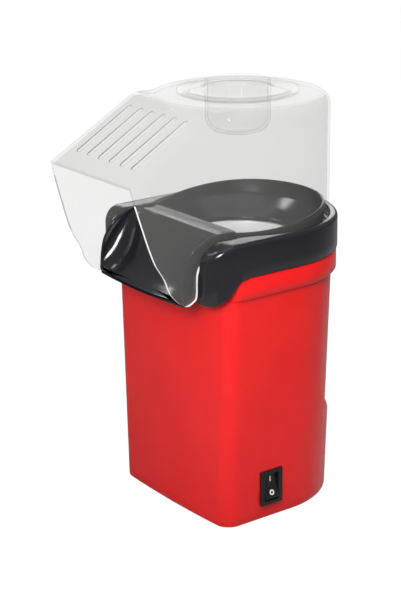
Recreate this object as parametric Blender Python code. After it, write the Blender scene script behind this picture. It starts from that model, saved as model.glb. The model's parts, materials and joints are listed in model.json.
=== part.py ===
"""Hot-air popcorn maker: red shell, black collar with a spout, clear hood, measuring cup and works.

Metres, +Z up, front towards -Y. The world origin is on the table under the middle of the
bounding box. Everything hangs on the empty AXIS, which stands on the popping chamber's axis,
so heights are heights above the table and plans are drawn about the chamber.
"""
import math

import bmesh
import bpy
from mathutils import Matrix, Vector

GAP = 0.0003            # clearance between pieces that rest on each other
OVERLAP = 0.0004        # how far shapes reach into each other before a union

# Red shell
FOOT_HEIGHT = 0.0022
SHELL_BOTTOM = 0.0020
SEAM_Z = 0.1750         # step where the raised band starts
BAND_TOP = 0.1907
SHELL_TOP = 0.2000
SHELL_WALL = 0.0025
SHELL_HALF_LOW = 0.0648
SHELL_HALF_HIGH = 0.0700
SPIGOT_HALF = 0.0692
SHELL_FRONT = 0.0642
SHELL_CORNER = 0.0115
FRONT_BOW = 0.90        # radius of the slightly bowed front face
BAND_PROUD = 0.0014

# Grip recess in the back of the shell
RECESS_DEPTH = 0.0022
RECESS_HALF_ANGLE = 66.0
RECESS_SIDE_Z = 0.0970
RECESS_LOW_Z = 0.0470
RECESS_POWER = 1.6

# Black collar
COLLAR_HALF = 0.0721
COLLAR_FRONT = 0.0780
COLLAR_CORNER = 0.0180
COLLAR_LOW = 0.1730
COLLAR_TOP = 0.2157
COLLAR_SKIRT_Z = 0.1910
DECK_UNDER = 0.2045
LEDGE_Z = 0.2080
LEDGE_RADIUS = 0.0665
SLOT_HALF = 0.0550
HOLE_RADIUS = 0.0428
HOLE_Z = 0.1966
RIM_RADIUS = 0.0624
RIM_FRONT_Z = 0.2167
RIM_BACK_Z = 0.2240
SPOUT_BOW = 0.0035

# Clear hood
HOOD_RADIUS = 0.0659
HOOD_TOP = 0.3030
HOOD_WALL = 0.0020
HOOD_EDGE = 0.0080
HOOD_HOLE = 0.0360
CHUTE_HALF = 0.0472
CHUTE_DRAFT = 0.055
HOOD_LIP = (-0.1272, 0.2630)
HOOD_FOLD_Y = -0.0585
VENT_COUNT = 6
VENT_PITCH = 0.01335
VENT_WIDTH = 0.0040

# Measuring cup
CUP_RADIUS = 0.0235
CUP_FLANGE = 0.0439
CUP_TOP = 0.3120
CUP_BOTTOM = 0.2740
CUP_WALL = 0.0018

# Rocker switch in the right side of the shell
SWITCH_Y = -0.0220
SWITCH_Z = 0.0265
SWITCH_WIDE = 0.0200
SWITCH_TALL = 0.0270
ROCKER_WIDE = 0.0120
ROCKER_TALL = 0.0200
ROCKER_TILT = 12.0      # degrees; its top, marked I, is pressed in

GLAND_Z = 0.0240        # height of the lead's bushing in the back of the shell

# Works inside
POST_RADIUS = 0.0560
CHAMBER_RADIUS = 0.0440
CHAMBER_BOTTOM = 0.1180
CHAMBER_TOP = 0.1958
HEATER_RADIUS = 0.0480
HEATER_TOP = 0.1495
FAN_FLOOR = 0.0540
FAN_TOP = 0.0860
FAN_RADIUS = 0.0400
MOTOR_RADIUS = 0.0140
MOTOR_LOW = 0.0180
MOTOR_TOP = 0.0530
MOTOR_SCREWS = (-0.0085, 0.0085)
FAN_BLADES = 7
SLEEVE_SCREWS = 0.0514   # radius of the circle of screws that hold the heater housing
CHAMBER_SCREWS = 0.0540  # and of those that hold the chamber under the collar

AXIS_Y = (-HOOD_LIP[0] - COLLAR_HALF) / 2


# ---------------------------------------------------------------- scene and objects

def clear_scene():
    for old in list(bpy.data.objects):
        bpy.data.objects.remove(old)


def make_axis():
    """The empty on the popping chamber's axis that carries every piece."""
    axis = bpy.data.objects.new("AXIS", None)
    axis.location = (0.0, AXIS_Y, 0.0)
    bpy.context.scene.collection.objects.link(axis)
    return axis


def material(name, colour, roughness, metallic=0.0, alpha=1.0):
    made = bpy.data.materials.new(name)
    made.use_nodes = True
    shader = made.node_tree.nodes["Principled BSDF"]
    shader.inputs["Base Color"].default_value = (*colour, 1.0)
    shader.inputs["Roughness"].default_value = roughness
    shader.inputs["Metallic"].default_value = metallic
    shader.inputs["Alpha"].default_value = alpha
    made.diffuse_color = (*colour, alpha)
    return made


def add(name, bm, mat, location=(0.0, 0.0, 0.0), smooth=True):
    """Turn a bmesh into a named object on the axis."""
    bmesh.ops.recalc_face_normals(bm, faces=bm.faces)
    mesh = bpy.data.meshes.new(name)
    bm.to_mesh(mesh)
    bm.free()
    if smooth:
        mesh.shade_smooth()
        mesh.set_sharp_from_angle(angle=math.radians(35))
    if mat:
        mesh.materials.append(mat)
    made = bpy.data.objects.new(name, mesh)
    made.location = location
    made.parent = AXIS
    bpy.context.scene.collection.objects.link(made)
    return made


def tool(name, bm, location=(0.0, 0.0, 0.0)):
    """A shape that is only an operand of a Boolean."""
    made = add(name, bm, None, location, smooth=False)
    made.hide_render = True
    made.display_type = "WIRE"
    return made


def boolean(target, operand, operation):
    step = target.modifiers.new(operand.name, "BOOLEAN")
    step.operation = operation
    step.solver = "EXACT"
    step.object = operand


def cut(target, operand):
    boolean(target, operand, "DIFFERENCE")


def fuse(target, operand):
    boolean(target, operand, "UNION")


# ---------------------------------------------------------------- shape makers

def skin(rings, closed=False):
    """Join rings of equal length; caps at both ends, or a closed tube of rings."""
    bm = bmesh.new()
    loops = [[bm.verts.new(point) for point in ring] for ring in rings]
    pairs = list(zip(loops, loops[1:]))
    if closed:
        pairs.append((loops[-1], loops[0]))
    for low, high in pairs:
        count = len(low)
        for i in range(count):
            j = (i + 1) % count
            bm.faces.new((low[i], low[j], high[j], high[i]))
    if not closed:
        bm.faces.new(reversed(loops[0]))
        bm.faces.new(loops[-1])
    return bm


def circle(radius, z, steps):
    angles = [2 * math.pi * i / steps for i in range(steps)]
    return [(radius * math.cos(a), radius * math.sin(a), z) for a in angles]


def turned(profile, steps=32, closed=False):
    """A turned piece from (radius, height) points: solid with end caps, or a closed ring."""
    return skin([circle(radius, z, steps) for radius, z in profile], closed)


def drill(radius, low, high, steps=10):
    """A plain round cutter, turned a little so that its corners miss the corners it meets."""
    bm = turned([(radius, low), (radius, high)], steps)
    bmesh.ops.rotate(bm, verts=bm.verts, matrix=Matrix.Rotation(0.23, 3, "Z"))
    return bm


def box(low, high):
    bm = bmesh.new()
    size = [b - a for a, b in zip(low, high)]
    middle = [(a + b) / 2 for a, b in zip(low, high)]
    place = Matrix.Translation(middle) @ Matrix.Diagonal((*size, 1.0))
    bmesh.ops.create_cube(bm, size=1.0, matrix=place)
    return bm


def prism(outline, half_width):
    """A (y, z) outline extruded along X; half_width gives each point's reach from its height."""
    ends = []
    for side in (-1, 1):
        ends.append([(side * half_width(z), y, z) for y, z in outline])
    return skin(ends)


def arc(centre, radius, start, end, steps):
    """Points on a circle between two angles in degrees."""
    angles = [math.radians(start + (end - start) * i / steps) for i in range(steps + 1)]
    return [(centre[0] + radius * math.cos(a), centre[1] + radius * math.sin(a)) for a in angles]


def d_plan(half, front, corner, z, back_steps=24):
    """Plan of shell and collar: half circle at the back, straight sides, bowed front."""
    bow_y = FRONT_BOW - front
    reach = FRONT_BOW - corner
    corner_x = half - corner
    corner_y = bow_y - math.sqrt(reach ** 2 - corner_x ** 2)
    tilt = math.degrees(math.asin(corner_x / reach))
    points = arc((0.0, 0.0), half, 0.0, 180.0, back_steps)
    points += arc((-corner_x, corner_y), corner, 180.0, 270.0 - tilt, 4)
    points += arc((0.0, bow_y), FRONT_BOW, 270.0 - tilt, 270.0 + tilt, 2)[1:-1]
    points += arc((corner_x, corner_y), corner, 270.0 + tilt, 360.0, 4)
    return [(x, y, z) for x, y in points]


def round_bar(radius, start, end, steps=16):
    """A solid round bar between two points."""
    bm = bmesh.new()
    a, b = Vector(start), Vector(end)
    turn = (b - a).to_track_quat("Z", "Y").to_matrix().to_4x4()
    place = Matrix.Translation((a + b) / 2) @ turn
    bmesh.ops.create_cone(bm, cap_ends=True, segments=steps, radius1=radius, radius2=radius,
                          depth=(b - a).length, matrix=place)
    return bm


def polar(radius, degrees, z=0.0):
    angle = math.radians(degrees)
    return (radius * math.cos(angle), radius * math.sin(angle), z)


# ---------------------------------------------------------------- shared outlines

def chute_half(z):
    """Half-width of the hood's chute: its sides spread downwards for draft."""
    return CHUTE_HALF + (HOOD_TOP - z) * CHUTE_DRAFT


def shell_half(z):
    """Half-width of the shell at a height below the seam."""
    rise = (z - SHELL_BOTTOM) / (SEAM_Z - SHELL_BOTTOM)
    return SHELL_HALF_LOW + (SHELL_HALF_HIGH - SHELL_HALF_LOW) * rise


def step_curve(offset):
    """The S-shaped lower edge of the collar's side, from the back to the front."""
    points = [(-0.0440, 0.1910), (-0.0520, 0.1895), (-0.0572, 0.1859), (-0.0624, 0.1800),
              (-0.0675, 0.1766), (-0.0720, 0.1742), (-0.0760, 0.1732)]
    return [(y, z - offset) for y, z in points]


def shoulder():
    """Side view of the ledge for the hood: level, then round and down the collar's front."""
    return [(-0.0582, 0.2082), (-0.0669, 0.2049), (-0.0729, 0.1992), (-0.0756, 0.1931)]


def tab_edge():
    """Side view of the hood's lower and front edge, from the ring to the slanted face's lip."""
    return [(-0.0582, 0.2087), (-0.0669, 0.2054), (-0.0732, 0.1995), (-0.0761, 0.1931),
            (-0.0773, 0.1792), (-0.0804, 0.1756), (-0.0856, 0.1738), (-0.0903, 0.1758),
            (-0.0952, 0.1801), (-0.0996, 0.1860), (-0.1037, 0.1964), (-0.1100, 0.2070),
            (-0.1142, 0.2180), (-0.1178, 0.2293), (-0.1213, 0.2410), (-0.1246, 0.2520)]


# ---------------------------------------------------------------- red shell

def recess_shape(depth, reach, grow):
    """The grip recess as a curved slab, from depth under the surface to reach over it."""
    columns = []
    steps = 16
    half_angle = RECESS_HALF_ANGLE + math.degrees(grow / SHELL_HALF_HIGH)
    for i in range(steps + 1):
        side = math.cos(math.pi * i / steps)
        drop = (1 - abs(side) ** RECESS_POWER) ** (1 / RECESS_POWER)
        low = RECESS_SIDE_Z - (RECESS_SIDE_Z - RECESS_LOW_Z + grow) * drop
        high = SEAM_Z + grow / 2
        column = []
        for z, over in ((low, -depth), (low, reach), (high, reach), (high, -depth)):
            column.append(polar(shell_half(z) + over, 90.0 - side * half_angle, z))
        columns.append(column)
    return skin(columns)


def make_body_shell(mat):
    """Drafted D-shaped shell with its raised band, grip recess, switch window and bosses."""
    wall = SHELL_WALL
    outer = [(SHELL_BOTTOM, SHELL_HALF_LOW - 0.001, SHELL_FRONT - 0.001),
             (SHELL_BOTTOM + 0.001, SHELL_HALF_LOW, SHELL_FRONT),
             (SEAM_Z, SHELL_HALF_HIGH, SHELL_FRONT),
             (BAND_TOP, SHELL_HALF_HIGH, SHELL_FRONT),
             (BAND_TOP + 0.0005, SPIGOT_HALF, SHELL_FRONT - 0.0008),
             (SHELL_TOP, SPIGOT_HALF, SHELL_FRONT - 0.0008)]
    inner = [(SHELL_TOP, SPIGOT_HALF - wall, SHELL_FRONT - 0.0008 - wall),
             (BAND_TOP, SPIGOT_HALF - wall, SHELL_FRONT - 0.0008 - wall),
             (SEAM_Z - 0.004, SHELL_HALF_HIGH - wall, SHELL_FRONT - wall),
             (SHELL_BOTTOM, SHELL_HALF_LOW - wall, SHELL_FRONT - wall)]
    rings = [d_plan(half, front, SHELL_CORNER, z) for z, half, front in outer]
    rings += [d_plan(half, front, SHELL_CORNER - wall, z) for z, half, front in inner]
    shell = add("body_shell", skin(rings, closed=True), mat)

    proud = SHELL_HALF_HIGH + BAND_PROUD
    inside = (SPIGOT_HALF - 0.001, SHELL_FRONT - 0.002, SHELL_CORNER - 0.002)
    band_top = BAND_TOP - GAP
    band_rings = [d_plan(proud - 0.0006, SHELL_FRONT, SHELL_CORNER, SEAM_Z),
                  d_plan(proud, SHELL_FRONT, SHELL_CORNER, SEAM_Z + 0.0008),
                  d_plan(proud, SHELL_FRONT, SHELL_CORNER, band_top),
                  d_plan(*inside, band_top),
                  d_plan(*inside, SEAM_Z)]
    band = tool("shell_band", skin(band_rings, closed=True))
    front = [(-0.100, 0.160)] + list(reversed(step_curve(0.0006)))
    front += [(-0.0440, 0.200), (-0.100, 0.200)]
    cut(band, tool("band_trim", prism(front, lambda z: 0.09)))
    fuse(shell, band)

    fuse(shell, tool("recess_backing", recess_shape(RECESS_DEPTH + wall, OVERLAP - wall, wall)))
    cut(shell, tool("recess_cut", recess_shape(RECESS_DEPTH, 0.004, 0.0)))

    for i, (x, y) in enumerate(screw_spots()):
        boss = turned([(0.0042, 0.0060), (0.0042, 0.0300), (0.0030, 0.0320)], 8)
        fuse(shell, tool(f"shell_boss_{i + 1}", boss, (x, y, 0.0)))
        wall_x = math.copysign(math.sqrt((shell_half(0.018) - wall / 2) ** 2 - max(0.0, y) ** 2), x)
        near_x = x + math.copysign(0.0025, x)
        rib = box((min(near_x, wall_x), y - 0.001, 0.0065),
                  (max(near_x, wall_x), y + 0.001, 0.0285))
        fuse(shell, tool(f"shell_rib_{i + 1}", rib))
        bore = drill(0.0016, 0.0050, 0.0260, 8)
        cut(shell, tool(f"shell_bore_{i + 1}", bore, (x, y, 0.0)))

    half_y, half_z = SWITCH_WIDE / 2 - 0.0012, SWITCH_TALL / 2 - 0.0012
    window = box((0.055, SWITCH_Y - half_y, SWITCH_Z - half_z),
                 (0.075, SWITCH_Y + half_y, SWITCH_Z + half_z))
    cut(shell, tool("switch_window", window))
    gland_window = round_bar(0.0050, (0.0, 0.055, GLAND_Z), (0.0, 0.075, GLAND_Z), 20)
    cut(shell, tool("gland_window", gland_window))
    return shell


def screw_spots():
    """Plan positions of the four base screws."""
    return [(-0.0530, -0.0480), (0.0530, -0.0480), (-0.0530, 0.0200), (0.0530, 0.0200)]


# ---------------------------------------------------------------- black collar

def make_top_collar(mat):
    """One moulding: D-shaped ring with its front corners, ledge for the hood, funnel and spout."""
    rings = []
    for z, inset in ((COLLAR_LOW, 0.0008), (COLLAR_LOW + 0.0008, 0.0), (COLLAR_TOP - 0.0035, 0.0),
                     (COLLAR_TOP - 0.0011, 0.0010), (COLLAR_TOP, 0.0032)):
        rings.append(d_plan(COLLAR_HALF - inset, COLLAR_FRONT - inset, COLLAR_CORNER - inset, z))
    collar = add("top_collar", skin(rings), mat)

    over = [(-0.0450, 0.2159)]
    for a in range(0, 91, 15):
        turn = math.radians(a)
        over.append((-0.0570 - 0.0215 * math.sin(turn), 0.1950 + 0.0208 * math.cos(turn)))
    over += [(-0.0900, 0.1950), (-0.0900, 0.2300), (-0.0450, 0.2300)]
    cut(collar, tool("collar_shoulder", prism(over, lambda z: 0.09)))
    under = [(0.0900, COLLAR_SKIRT_Z)] + step_curve(0.0) + [(-0.0760, 0.1600), (0.0900, 0.1600)]
    cut(collar, tool("collar_step", prism(under, lambda z: 0.09)))

    low_plan = [d_plan(0.0704, 0.0647, 0.0118, z) for z in (0.1650, 0.1913)]
    cut(collar, tool("collar_socket_low", skin(low_plan)))
    high_plan = [d_plan(0.0696, 0.0641, 0.0112, z) for z in (0.1850, DECK_UNDER)]
    cut(collar, tool("collar_socket_high", skin(high_plan)))

    cut(collar, tool("collar_ledge", turned([(LEDGE_RADIUS, LEDGE_Z), (LEDGE_RADIUS, 0.2300)], 48)))
    ledge = [(-0.0300, LEDGE_Z)] + shoulder() + [(-0.0756, 0.1600), (-0.1000, 0.1600),
                                                 (-0.1000, 0.2400), (-0.0300, 0.2400)]
    cut(collar, tool("collar_slots", prism(ledge, lambda z: SLOT_HALF)))
    mouth = [(0.0612, 0.1900, 0.0543), (0.0612, 0.2300, 0.0543)]
    cut(collar, tool("collar_mouth", skin(chord_rings(mouth))))

    room = [(-0.0540, 0.2125), (-0.0600, 0.2095), (-0.0660, 0.1997), (-0.0720, 0.1893),
            (-0.0755, 0.1835), (-0.0762, 0.1600), (-0.1000, 0.1600), (-0.1000, 0.2300),
            (-0.0540, 0.2300)]
    cut(collar, tool("spout_room", prism(room, lambda z: chute_half(z) - HOOD_WALL - 0.0018)))
    spout = tool("spout_floor", spout_floor())
    bite = [(0.0360, 0.1950, 0.0380), (0.0440, 0.1985, 0.0445), (0.0492, 0.2008, 0.0480),
            (0.0583, 0.2118, 0.0520), (0.0612, 0.2163, 0.0540), (0.0612, 0.2300, 0.0540)]
    cut(spout, tool("spout_bite", skin(chord_rings(bite))))
    fuse(collar, spout)
    for side, name in ((-1, "left"), (1, "right")):
        fuse(collar, tool(f"spout_wall_{name}", spout_wall(side)))
    fuse(collar, tool("collar_funnel", funnel()))
    for i, angle in enumerate(chamber_screw_angles()):
        boss = drill(0.0036, 0.1975, 0.2030)
        fuse(collar, tool(f"collar_boss_{i + 1}", boss, polar(CHAMBER_SCREWS, angle)))
        bore = drill(0.0014, 0.1960, 0.2016, 8)
        cut(collar, tool(f"collar_bore_{i + 1}", bore, polar(CHAMBER_SCREWS, angle)))
    return collar


def chamber_screw_angles():
    return [90.0, 210.0, 330.0]


def spout_floor():
    """The slide from the funnel's front rim down to the lip, as a solid wedge."""
    high = RIM_FRONT_Z + 0.0002
    profile = [(-0.0360, high), (-0.0540, high), (-0.0580, 0.2142), (-0.0630, 0.2070),
               (-0.0685, 0.1970), (-0.0735, 0.1885), (-0.0795, 0.1813), (-0.0873, 0.1750),
               (-0.0873, 0.1723), (-0.0750, 0.1735), (-0.0690, 0.1900), (-0.0600, 0.2060),
               (-0.0360, 0.2060)]
    sections = []
    steps = 8
    for i in range(steps + 1):
        across = -1 + 2 * i / steps
        section = []
        for y, z in profile:
            forward = min(1.0, max(0.0, (-y - 0.0540) / 0.0333))
            half = chute_half(z) - HOOD_WALL - 0.0020
            section.append((across * half, y - SPOUT_BOW * forward * (1 - across ** 2), z))
        sections.append(section)
    return skin(sections)


def spout_wall(side):
    """One side wall of the spout, just inside the hood's chute."""
    profile = [(-0.0340, 0.2170), (-0.0520, 0.2181), (-0.0600, 0.2180), (-0.0660, 0.2160),
               (-0.0755, 0.2110), (-0.0810, 0.2055), (-0.0850, 0.1980), (-0.0867, 0.1900),
               (-0.0873, 0.1820), (-0.0873, 0.1723), (-0.0750, 0.1735), (-0.0715, 0.1900),
               (-0.0600, 0.2062), (-0.0340, 0.2062)]
    faces = []
    for inset in (0.0006, 0.0030):
        faces.append([(side * (chute_half(z) - HOOD_WALL - inset), y, z) for y, z in profile])
    return skin(faces)


def rim_height(y):
    """The funnel's rim rises from the spout to the back."""
    rise = min(1.0, max(0.0, (y + 0.040) / 0.100))
    return RIM_FRONT_Z + (RIM_BACK_Z - RIM_FRONT_Z) * rise


def chord_rings(profile):
    """Rings about the axis whose front is cut off straight: (radius, height, front) points."""
    rings = []
    for radius, z, front in profile:
        rings.append([(x, max(y, -front), z) for x, y, _ in circle(radius, z, 32)])
    return rings


def funnel():
    """Thin-walled funnel: rim inside the hood, straight front ridge, hole over the chamber.

    The rim's points are given as heights over the rim's own height, which varies round it.
    """
    rim = RIM_RADIUS
    wall = [(rim, 0.2050, 0.0554), (rim, -0.0008, 0.0554), (rim - 0.0009, 0.0, 0.0547),
            (rim - 0.0021, -0.0005, 0.0534), (0.0575, 0.2125, 0.0510), (0.0485, 0.2016, 0.0470),
            (0.0436, 0.1994, 0.0436), (HOLE_RADIUS, 0.1986, HOLE_RADIUS),
            (HOLE_RADIUS, HOLE_Z, HOLE_RADIUS), (0.0452, HOLE_Z, 0.0452), (0.0500, 0.1988, 0.0486),
            (0.0598, 0.2110, 0.0529), (0.0600, 0.2050, 0.0530)]
    rings = []
    for ring in chord_rings(wall):
        on_rim = ring[0][2] < 0.1
        if on_rim:
            ring = [(x, y, rim_height(y) + z) for x, y, z in ring]
        rings.append(ring)
    return skin(rings, closed=True)


# ---------------------------------------------------------------- hood and cup

def hood_round(radius, low, top, edge):
    """Round part of the hood as a solid with a rounded top edge."""
    profile = [(radius, low)]
    profile += [(radius - edge + x, top - edge + z) for x, z in arc((0.0, 0.0), edge, 0.0, 90.0, 3)]
    return turned(profile, 40)


def make_hood(mat):
    """Clear keyhole-shaped hood: round over the chamber, chute with side tabs in front."""
    hood = add("hood", hood_round(HOOD_RADIUS, LEDGE_Z + GAP, HOOD_TOP, HOOD_EDGE), mat)
    outer = [(-0.0300, HOOD_TOP - OVERLAP), (-0.0300, LEDGE_Z + GAP)] + tab_edge()
    outer += [HOOD_LIP, (HOOD_FOLD_Y - 0.0030, HOOD_TOP - 0.0024),
              (HOOD_FOLD_Y + 0.0020, HOOD_TOP - OVERLAP)]
    fuse(hood, tool("chute_outer", prism(outer, chute_half)))
    wall = HOOD_WALL
    hollow = hood_round(HOOD_RADIUS - wall, 0.1600, HOOD_TOP - wall, HOOD_EDGE - wall)
    cut(hood, tool("round_inner", hollow))
    slope = (HOOD_TOP - HOOD_LIP[1]) / (HOOD_FOLD_Y - HOOD_LIP[0])
    inner_y = HOOD_FOLD_Y + 0.0006
    inner_z = HOOD_TOP - wall - 0.0004
    far_y = -0.150
    inner = [(-0.0200, inner_z), (-0.0200, 0.1500), (far_y, 0.1500),
             (far_y, inner_z - (inner_y - far_y) * slope), (inner_y, inner_z)]
    cut(hood, tool("chute_inner", prism(inner, lambda z: chute_half(z) - wall)))
    cut(hood, tool("cup_hole", drill(HOOD_HOLE, 0.2900, 0.3100, 28)))
    for i in range(VENT_COUNT):
        x = (i - (VENT_COUNT - 1) / 2) * VENT_PITCH
        cut(hood, tool(f"vent_{i + 1}", vent_slot(x, slope)))
    return hood


def vent_slot(x, slope):
    """A round-ended slot square to the slanted face."""
    run_y, top_y = -0.1145, -0.0690
    along = Vector((0.0, -1.0, -slope)).normalized()
    normal = Vector((0.0, -along.z, along.y))
    if normal.z < 0:
        normal = -normal
    start = Vector((x, top_y, HOOD_TOP - (HOOD_FOLD_Y - top_y) * slope))
    length = (top_y - run_y) / -along.y
    half = VENT_WIDTH / 2
    flat = [(half + u, v) for u, v in arc((0.0, 0.0), half, 90.0, 270.0, 3)]
    flat += [(length - half + u, v) for u, v in arc((0.0, 0.0), half, -90.0, 90.0, 3)]
    layers = []
    for depth in (-0.004, 0.004):
        layer = [start + along * u + Vector((v, 0.0, 0.0)) + normal * depth for u, v in flat]
        layers.append(layer)
    return skin(layers)


def make_measuring_cup(mat):
    """Clear cup whose flange lies on the hood and whose bowl hangs through the hole."""
    flange = HOOD_TOP + GAP
    wall = CUP_WALL
    low = CUP_BOTTOM
    outside = [(0.0130, low), (0.0180, low + 0.0016), (0.0218, low + 0.0050),
               (CUP_RADIUS, low + 0.0105)]
    brim = [(CUP_RADIUS, flange), (CUP_FLANGE - 0.0006, flange), (CUP_FLANGE, flange + 0.0006),
            (CUP_FLANGE, flange + 0.0016), (CUP_FLANGE - 0.0008, flange + 0.0022),
            (CUP_RADIUS + 0.0006, flange + 0.0022), (CUP_RADIUS, flange + 0.0028),
            (CUP_RADIUS, CUP_TOP - 0.0005), (CUP_RADIUS - 0.0005, CUP_TOP)]
    inside = [(CUP_RADIUS - wall, CUP_TOP), (CUP_RADIUS - wall, low + 0.0110),
              (0.0200, low + 0.0060), (0.0168, low + 0.0032), (0.0130, low + wall)]
    return add("measuring_cup", turned(outside + brim + inside, 28), mat)


# ---------------------------------------------------------------- base, feet and switch

def make_base_plate(mat):
    """Bottom plate with intake slots, motor ring clearance and posts for the fan housing."""
    half = SHELL_HALF_LOW - SHELL_WALL - 0.0004
    front = SHELL_FRONT - SHELL_WALL - 0.0004
    rings = [d_plan(half, front, SHELL_CORNER - SHELL_WALL, z) for z in (FOOT_HEIGHT + GAP, 0.0050)]
    plate = add("base_plate", skin(rings), mat)
    for i in range(7):
        x = (i - 3) * 0.0090
        length = 0.5 * math.sqrt(0.036 ** 2 - x ** 2) + 0.010
        slot = box((x - 0.0022, -length, 0.0), (x + 0.0022, length, 0.0080))
        cut(plate, tool(f"intake_{i + 1}", slot))
    for i, angle in enumerate(post_angles()):
        post = turned([(0.0040, 0.0045), (0.0034, FAN_FLOOR - GAP)], 10)
        fuse(plate, tool(f"post_{i + 1}", post, polar(POST_RADIUS, angle)))
        bore = drill(0.0016, FAN_FLOOR - 0.0160, FAN_FLOOR + 0.0020, 8)
        cut(plate, tool(f"post_bore_{i + 1}", bore, polar(POST_RADIUS, angle)))
    for i, (x, y) in enumerate(screw_spots()):
        hole = turned([(0.0034, 0.0), (0.0034, 0.0039), (0.0017, 0.0039), (0.0017, 0.0080)], 12)
        cut(plate, tool(f"base_hole_{i + 1}", hole, (x, y, 0.0)))
    return plate


def post_angles():
    return [50.0, 130.0, 270.0]


def make_feet(mat):
    spots = [(-0.0430, -0.0500), (0.0430, -0.0500), (-0.0370, 0.0360), (0.0370, 0.0360)]
    for i, (x, y) in enumerate(spots):
        profile = [(0.0052, 0.0), (0.0060, 0.0006), (0.0060, FOOT_HEIGHT)]
        add(f"foot_{i + 1}", turned(profile, 14), mat, (x, y, 0.0))


def screw(name, mat, x, y, head_z, down, length, shank=0.0012, head=0.0028):
    """A pan-head screw; down is -1 where its head is at the bottom."""
    thick = 0.0014
    profile = [(head * 0.8, 0.0), (head, 0.0005), (head, thick), (shank, thick), (shank, length),
               (shank * 0.3, length + 0.0012)]
    profile = [(radius, -down * z) for radius, z in profile]
    return add(name, turned(profile, 8), mat, (x, y, head_z))


def make_switch(housing_mat, rocker_mat):
    """Rocker switch: frame through the shell's window, rocker on a pin across the frame."""
    outer = shell_half(SWITCH_Z)
    face = outer + 0.0016
    low_y, high_y = SWITCH_Y - SWITCH_WIDE / 2, SWITCH_Y + SWITCH_WIDE / 2
    low_z, high_z = SWITCH_Z - SWITCH_TALL / 2, SWITCH_Z + SWITCH_TALL / 2
    frame = box((outer + 0.0006, low_y, low_z), (face, high_y, high_z))
    housing = add("switch_housing", frame, housing_mat)
    inset = 0.0016
    body = box((outer - 0.0190, low_y + inset, low_z + inset),
               (outer + 0.0010, high_y - inset, high_z - inset))
    fuse(housing, tool("switch_body", body))
    reach_y, reach_z = ROCKER_WIDE / 2 + GAP, ROCKER_TALL / 2 + 0.0005
    well = box((outer - 0.0110, SWITCH_Y - reach_y, SWITCH_Z - reach_z),
               (outer + 0.0050, SWITCH_Y + reach_y, SWITCH_Z + reach_z))
    cut(housing, tool("switch_well", well))
    for i in range(3):
        z = SWITCH_Z + (i - 1) * 0.0065
        lug = box((outer - 0.0260, SWITCH_Y - 0.0024, z - 0.0004),
                  (outer - 0.0185, SWITCH_Y + 0.0024, z + 0.0004))
        fuse(housing, tool(f"switch_lug_{i + 1}", lug))

    pivot = outer - 0.0030
    half = ROCKER_TALL / 2
    tip = math.radians(ROCKER_TILT)
    outline = [(0.0058, -half + 0.0006), (0.0032, 0.0), (0.0058, half - 0.0006), (0.0030, half),
               (-0.0020, half - 0.0030), (-0.0020, -half + 0.0030), (0.0030, -half)]
    sides = []
    for y in (-ROCKER_WIDE / 2, ROCKER_WIDE / 2):
        tilted = []
        for x, z in outline:
            out = x * math.cos(tip) - z * math.sin(tip)
            up = x * math.sin(tip) + z * math.cos(tip)
            tilted.append((out, y, up))
        sides.append(tilted)
    add("switch_rocker", skin(sides), rocker_mat, (pivot, SWITCH_Y, SWITCH_Z))


def make_cord_gland(mat):
    """Plain bushing for the lead, low in the back of the shell."""
    outer = shell_half(GLAND_Z)
    profile = [(0.0046, -0.0080), (0.0046, 0.0004), (0.0070, 0.0004), (0.0070, 0.0020),
               (0.0062, 0.0028), (0.0034, 0.0028), (0.0034, -0.0080)]
    bm = turned(profile, 20, closed=True)
    bmesh.ops.rotate(bm, verts=bm.verts, matrix=Matrix.Rotation(math.radians(-90), 3, "X"))
    return add("cord_gland", bm, mat, (0.0, outer, GLAND_Z))


# ---------------------------------------------------------------- popping chamber and heater

def make_popping_chamber(mat):
    """Aluminium pot with a flange under the funnel and louvre slots around its foot."""
    radius, low, top = CHAMBER_RADIUS, CHAMBER_BOTTOM, CHAMBER_TOP
    wall = 0.0010
    outside = [(0.0060, low + 0.0040), (0.0300, low), (radius - 0.0060, low), (radius, low + 0.0060),
               (radius, top - 0.0015), (0.0575, top - 0.0015), (0.0575, top)]
    inside = [(radius - wall + 0.0008, top), (radius - wall, top - 0.0010),
              (radius - wall, low + 0.0064), (radius - 0.0064, low + wall), (0.0300, low + wall),
              (0.0060, low + 0.0040 + wall)]
    pot = add("popping_chamber", turned(outside + inside, 28), mat)
    for i in range(12):
        round_turn = Matrix.Rotation(math.radians(30.0 * i + 15.0), 3, "Z")
        slot = box((0.0400, -0.0014, low + 0.0085), (0.0480, 0.0014, low + 0.0190))
        place = round_turn @ Matrix.Rotation(math.radians(-28), 3, "X")
        middle = Vector((0.0440, 0.0, low + 0.01375))
        bmesh.ops.translate(slot, verts=slot.verts, vec=-middle)
        bmesh.ops.rotate(slot, verts=slot.verts, matrix=place)
        cut(pot, tool(f"louvre_{i + 1}", slot, round_turn @ middle))
    for i, angle in enumerate(chamber_screw_angles()):
        hole = drill(0.0016, top - 0.0040, top + 0.0040, 8)
        cut(pot, tool(f"flange_hole_{i + 1}", hole, polar(CHAMBER_SCREWS, angle)))
    return pot


def make_heater_housing(mat):
    """Steel sleeve around the heater and the chamber's foot, with a flange on the fan housing."""
    radius, low, wall = HEATER_RADIUS, FAN_TOP + GAP, 0.0010
    profile = [(0.0540, low), (0.0540, low + wall), (radius, low + wall), (radius, HEATER_TOP),
               (CHAMBER_RADIUS + GAP, HEATER_TOP), (CHAMBER_RADIUS + GAP, HEATER_TOP - wall),
               (radius - wall, HEATER_TOP - wall), (radius - wall, low)]
    sleeve = add("heater_housing", turned(profile, 28, closed=True), mat)
    for i, angle in enumerate(post_angles()):
        hole = drill(0.0015, low - 0.0020, low + 0.0040, 8)
        cut(sleeve, tool(f"sleeve_hole_{i + 1}", hole, polar(SLEEVE_SCREWS, angle + 60.0)))
    return sleeve


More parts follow.
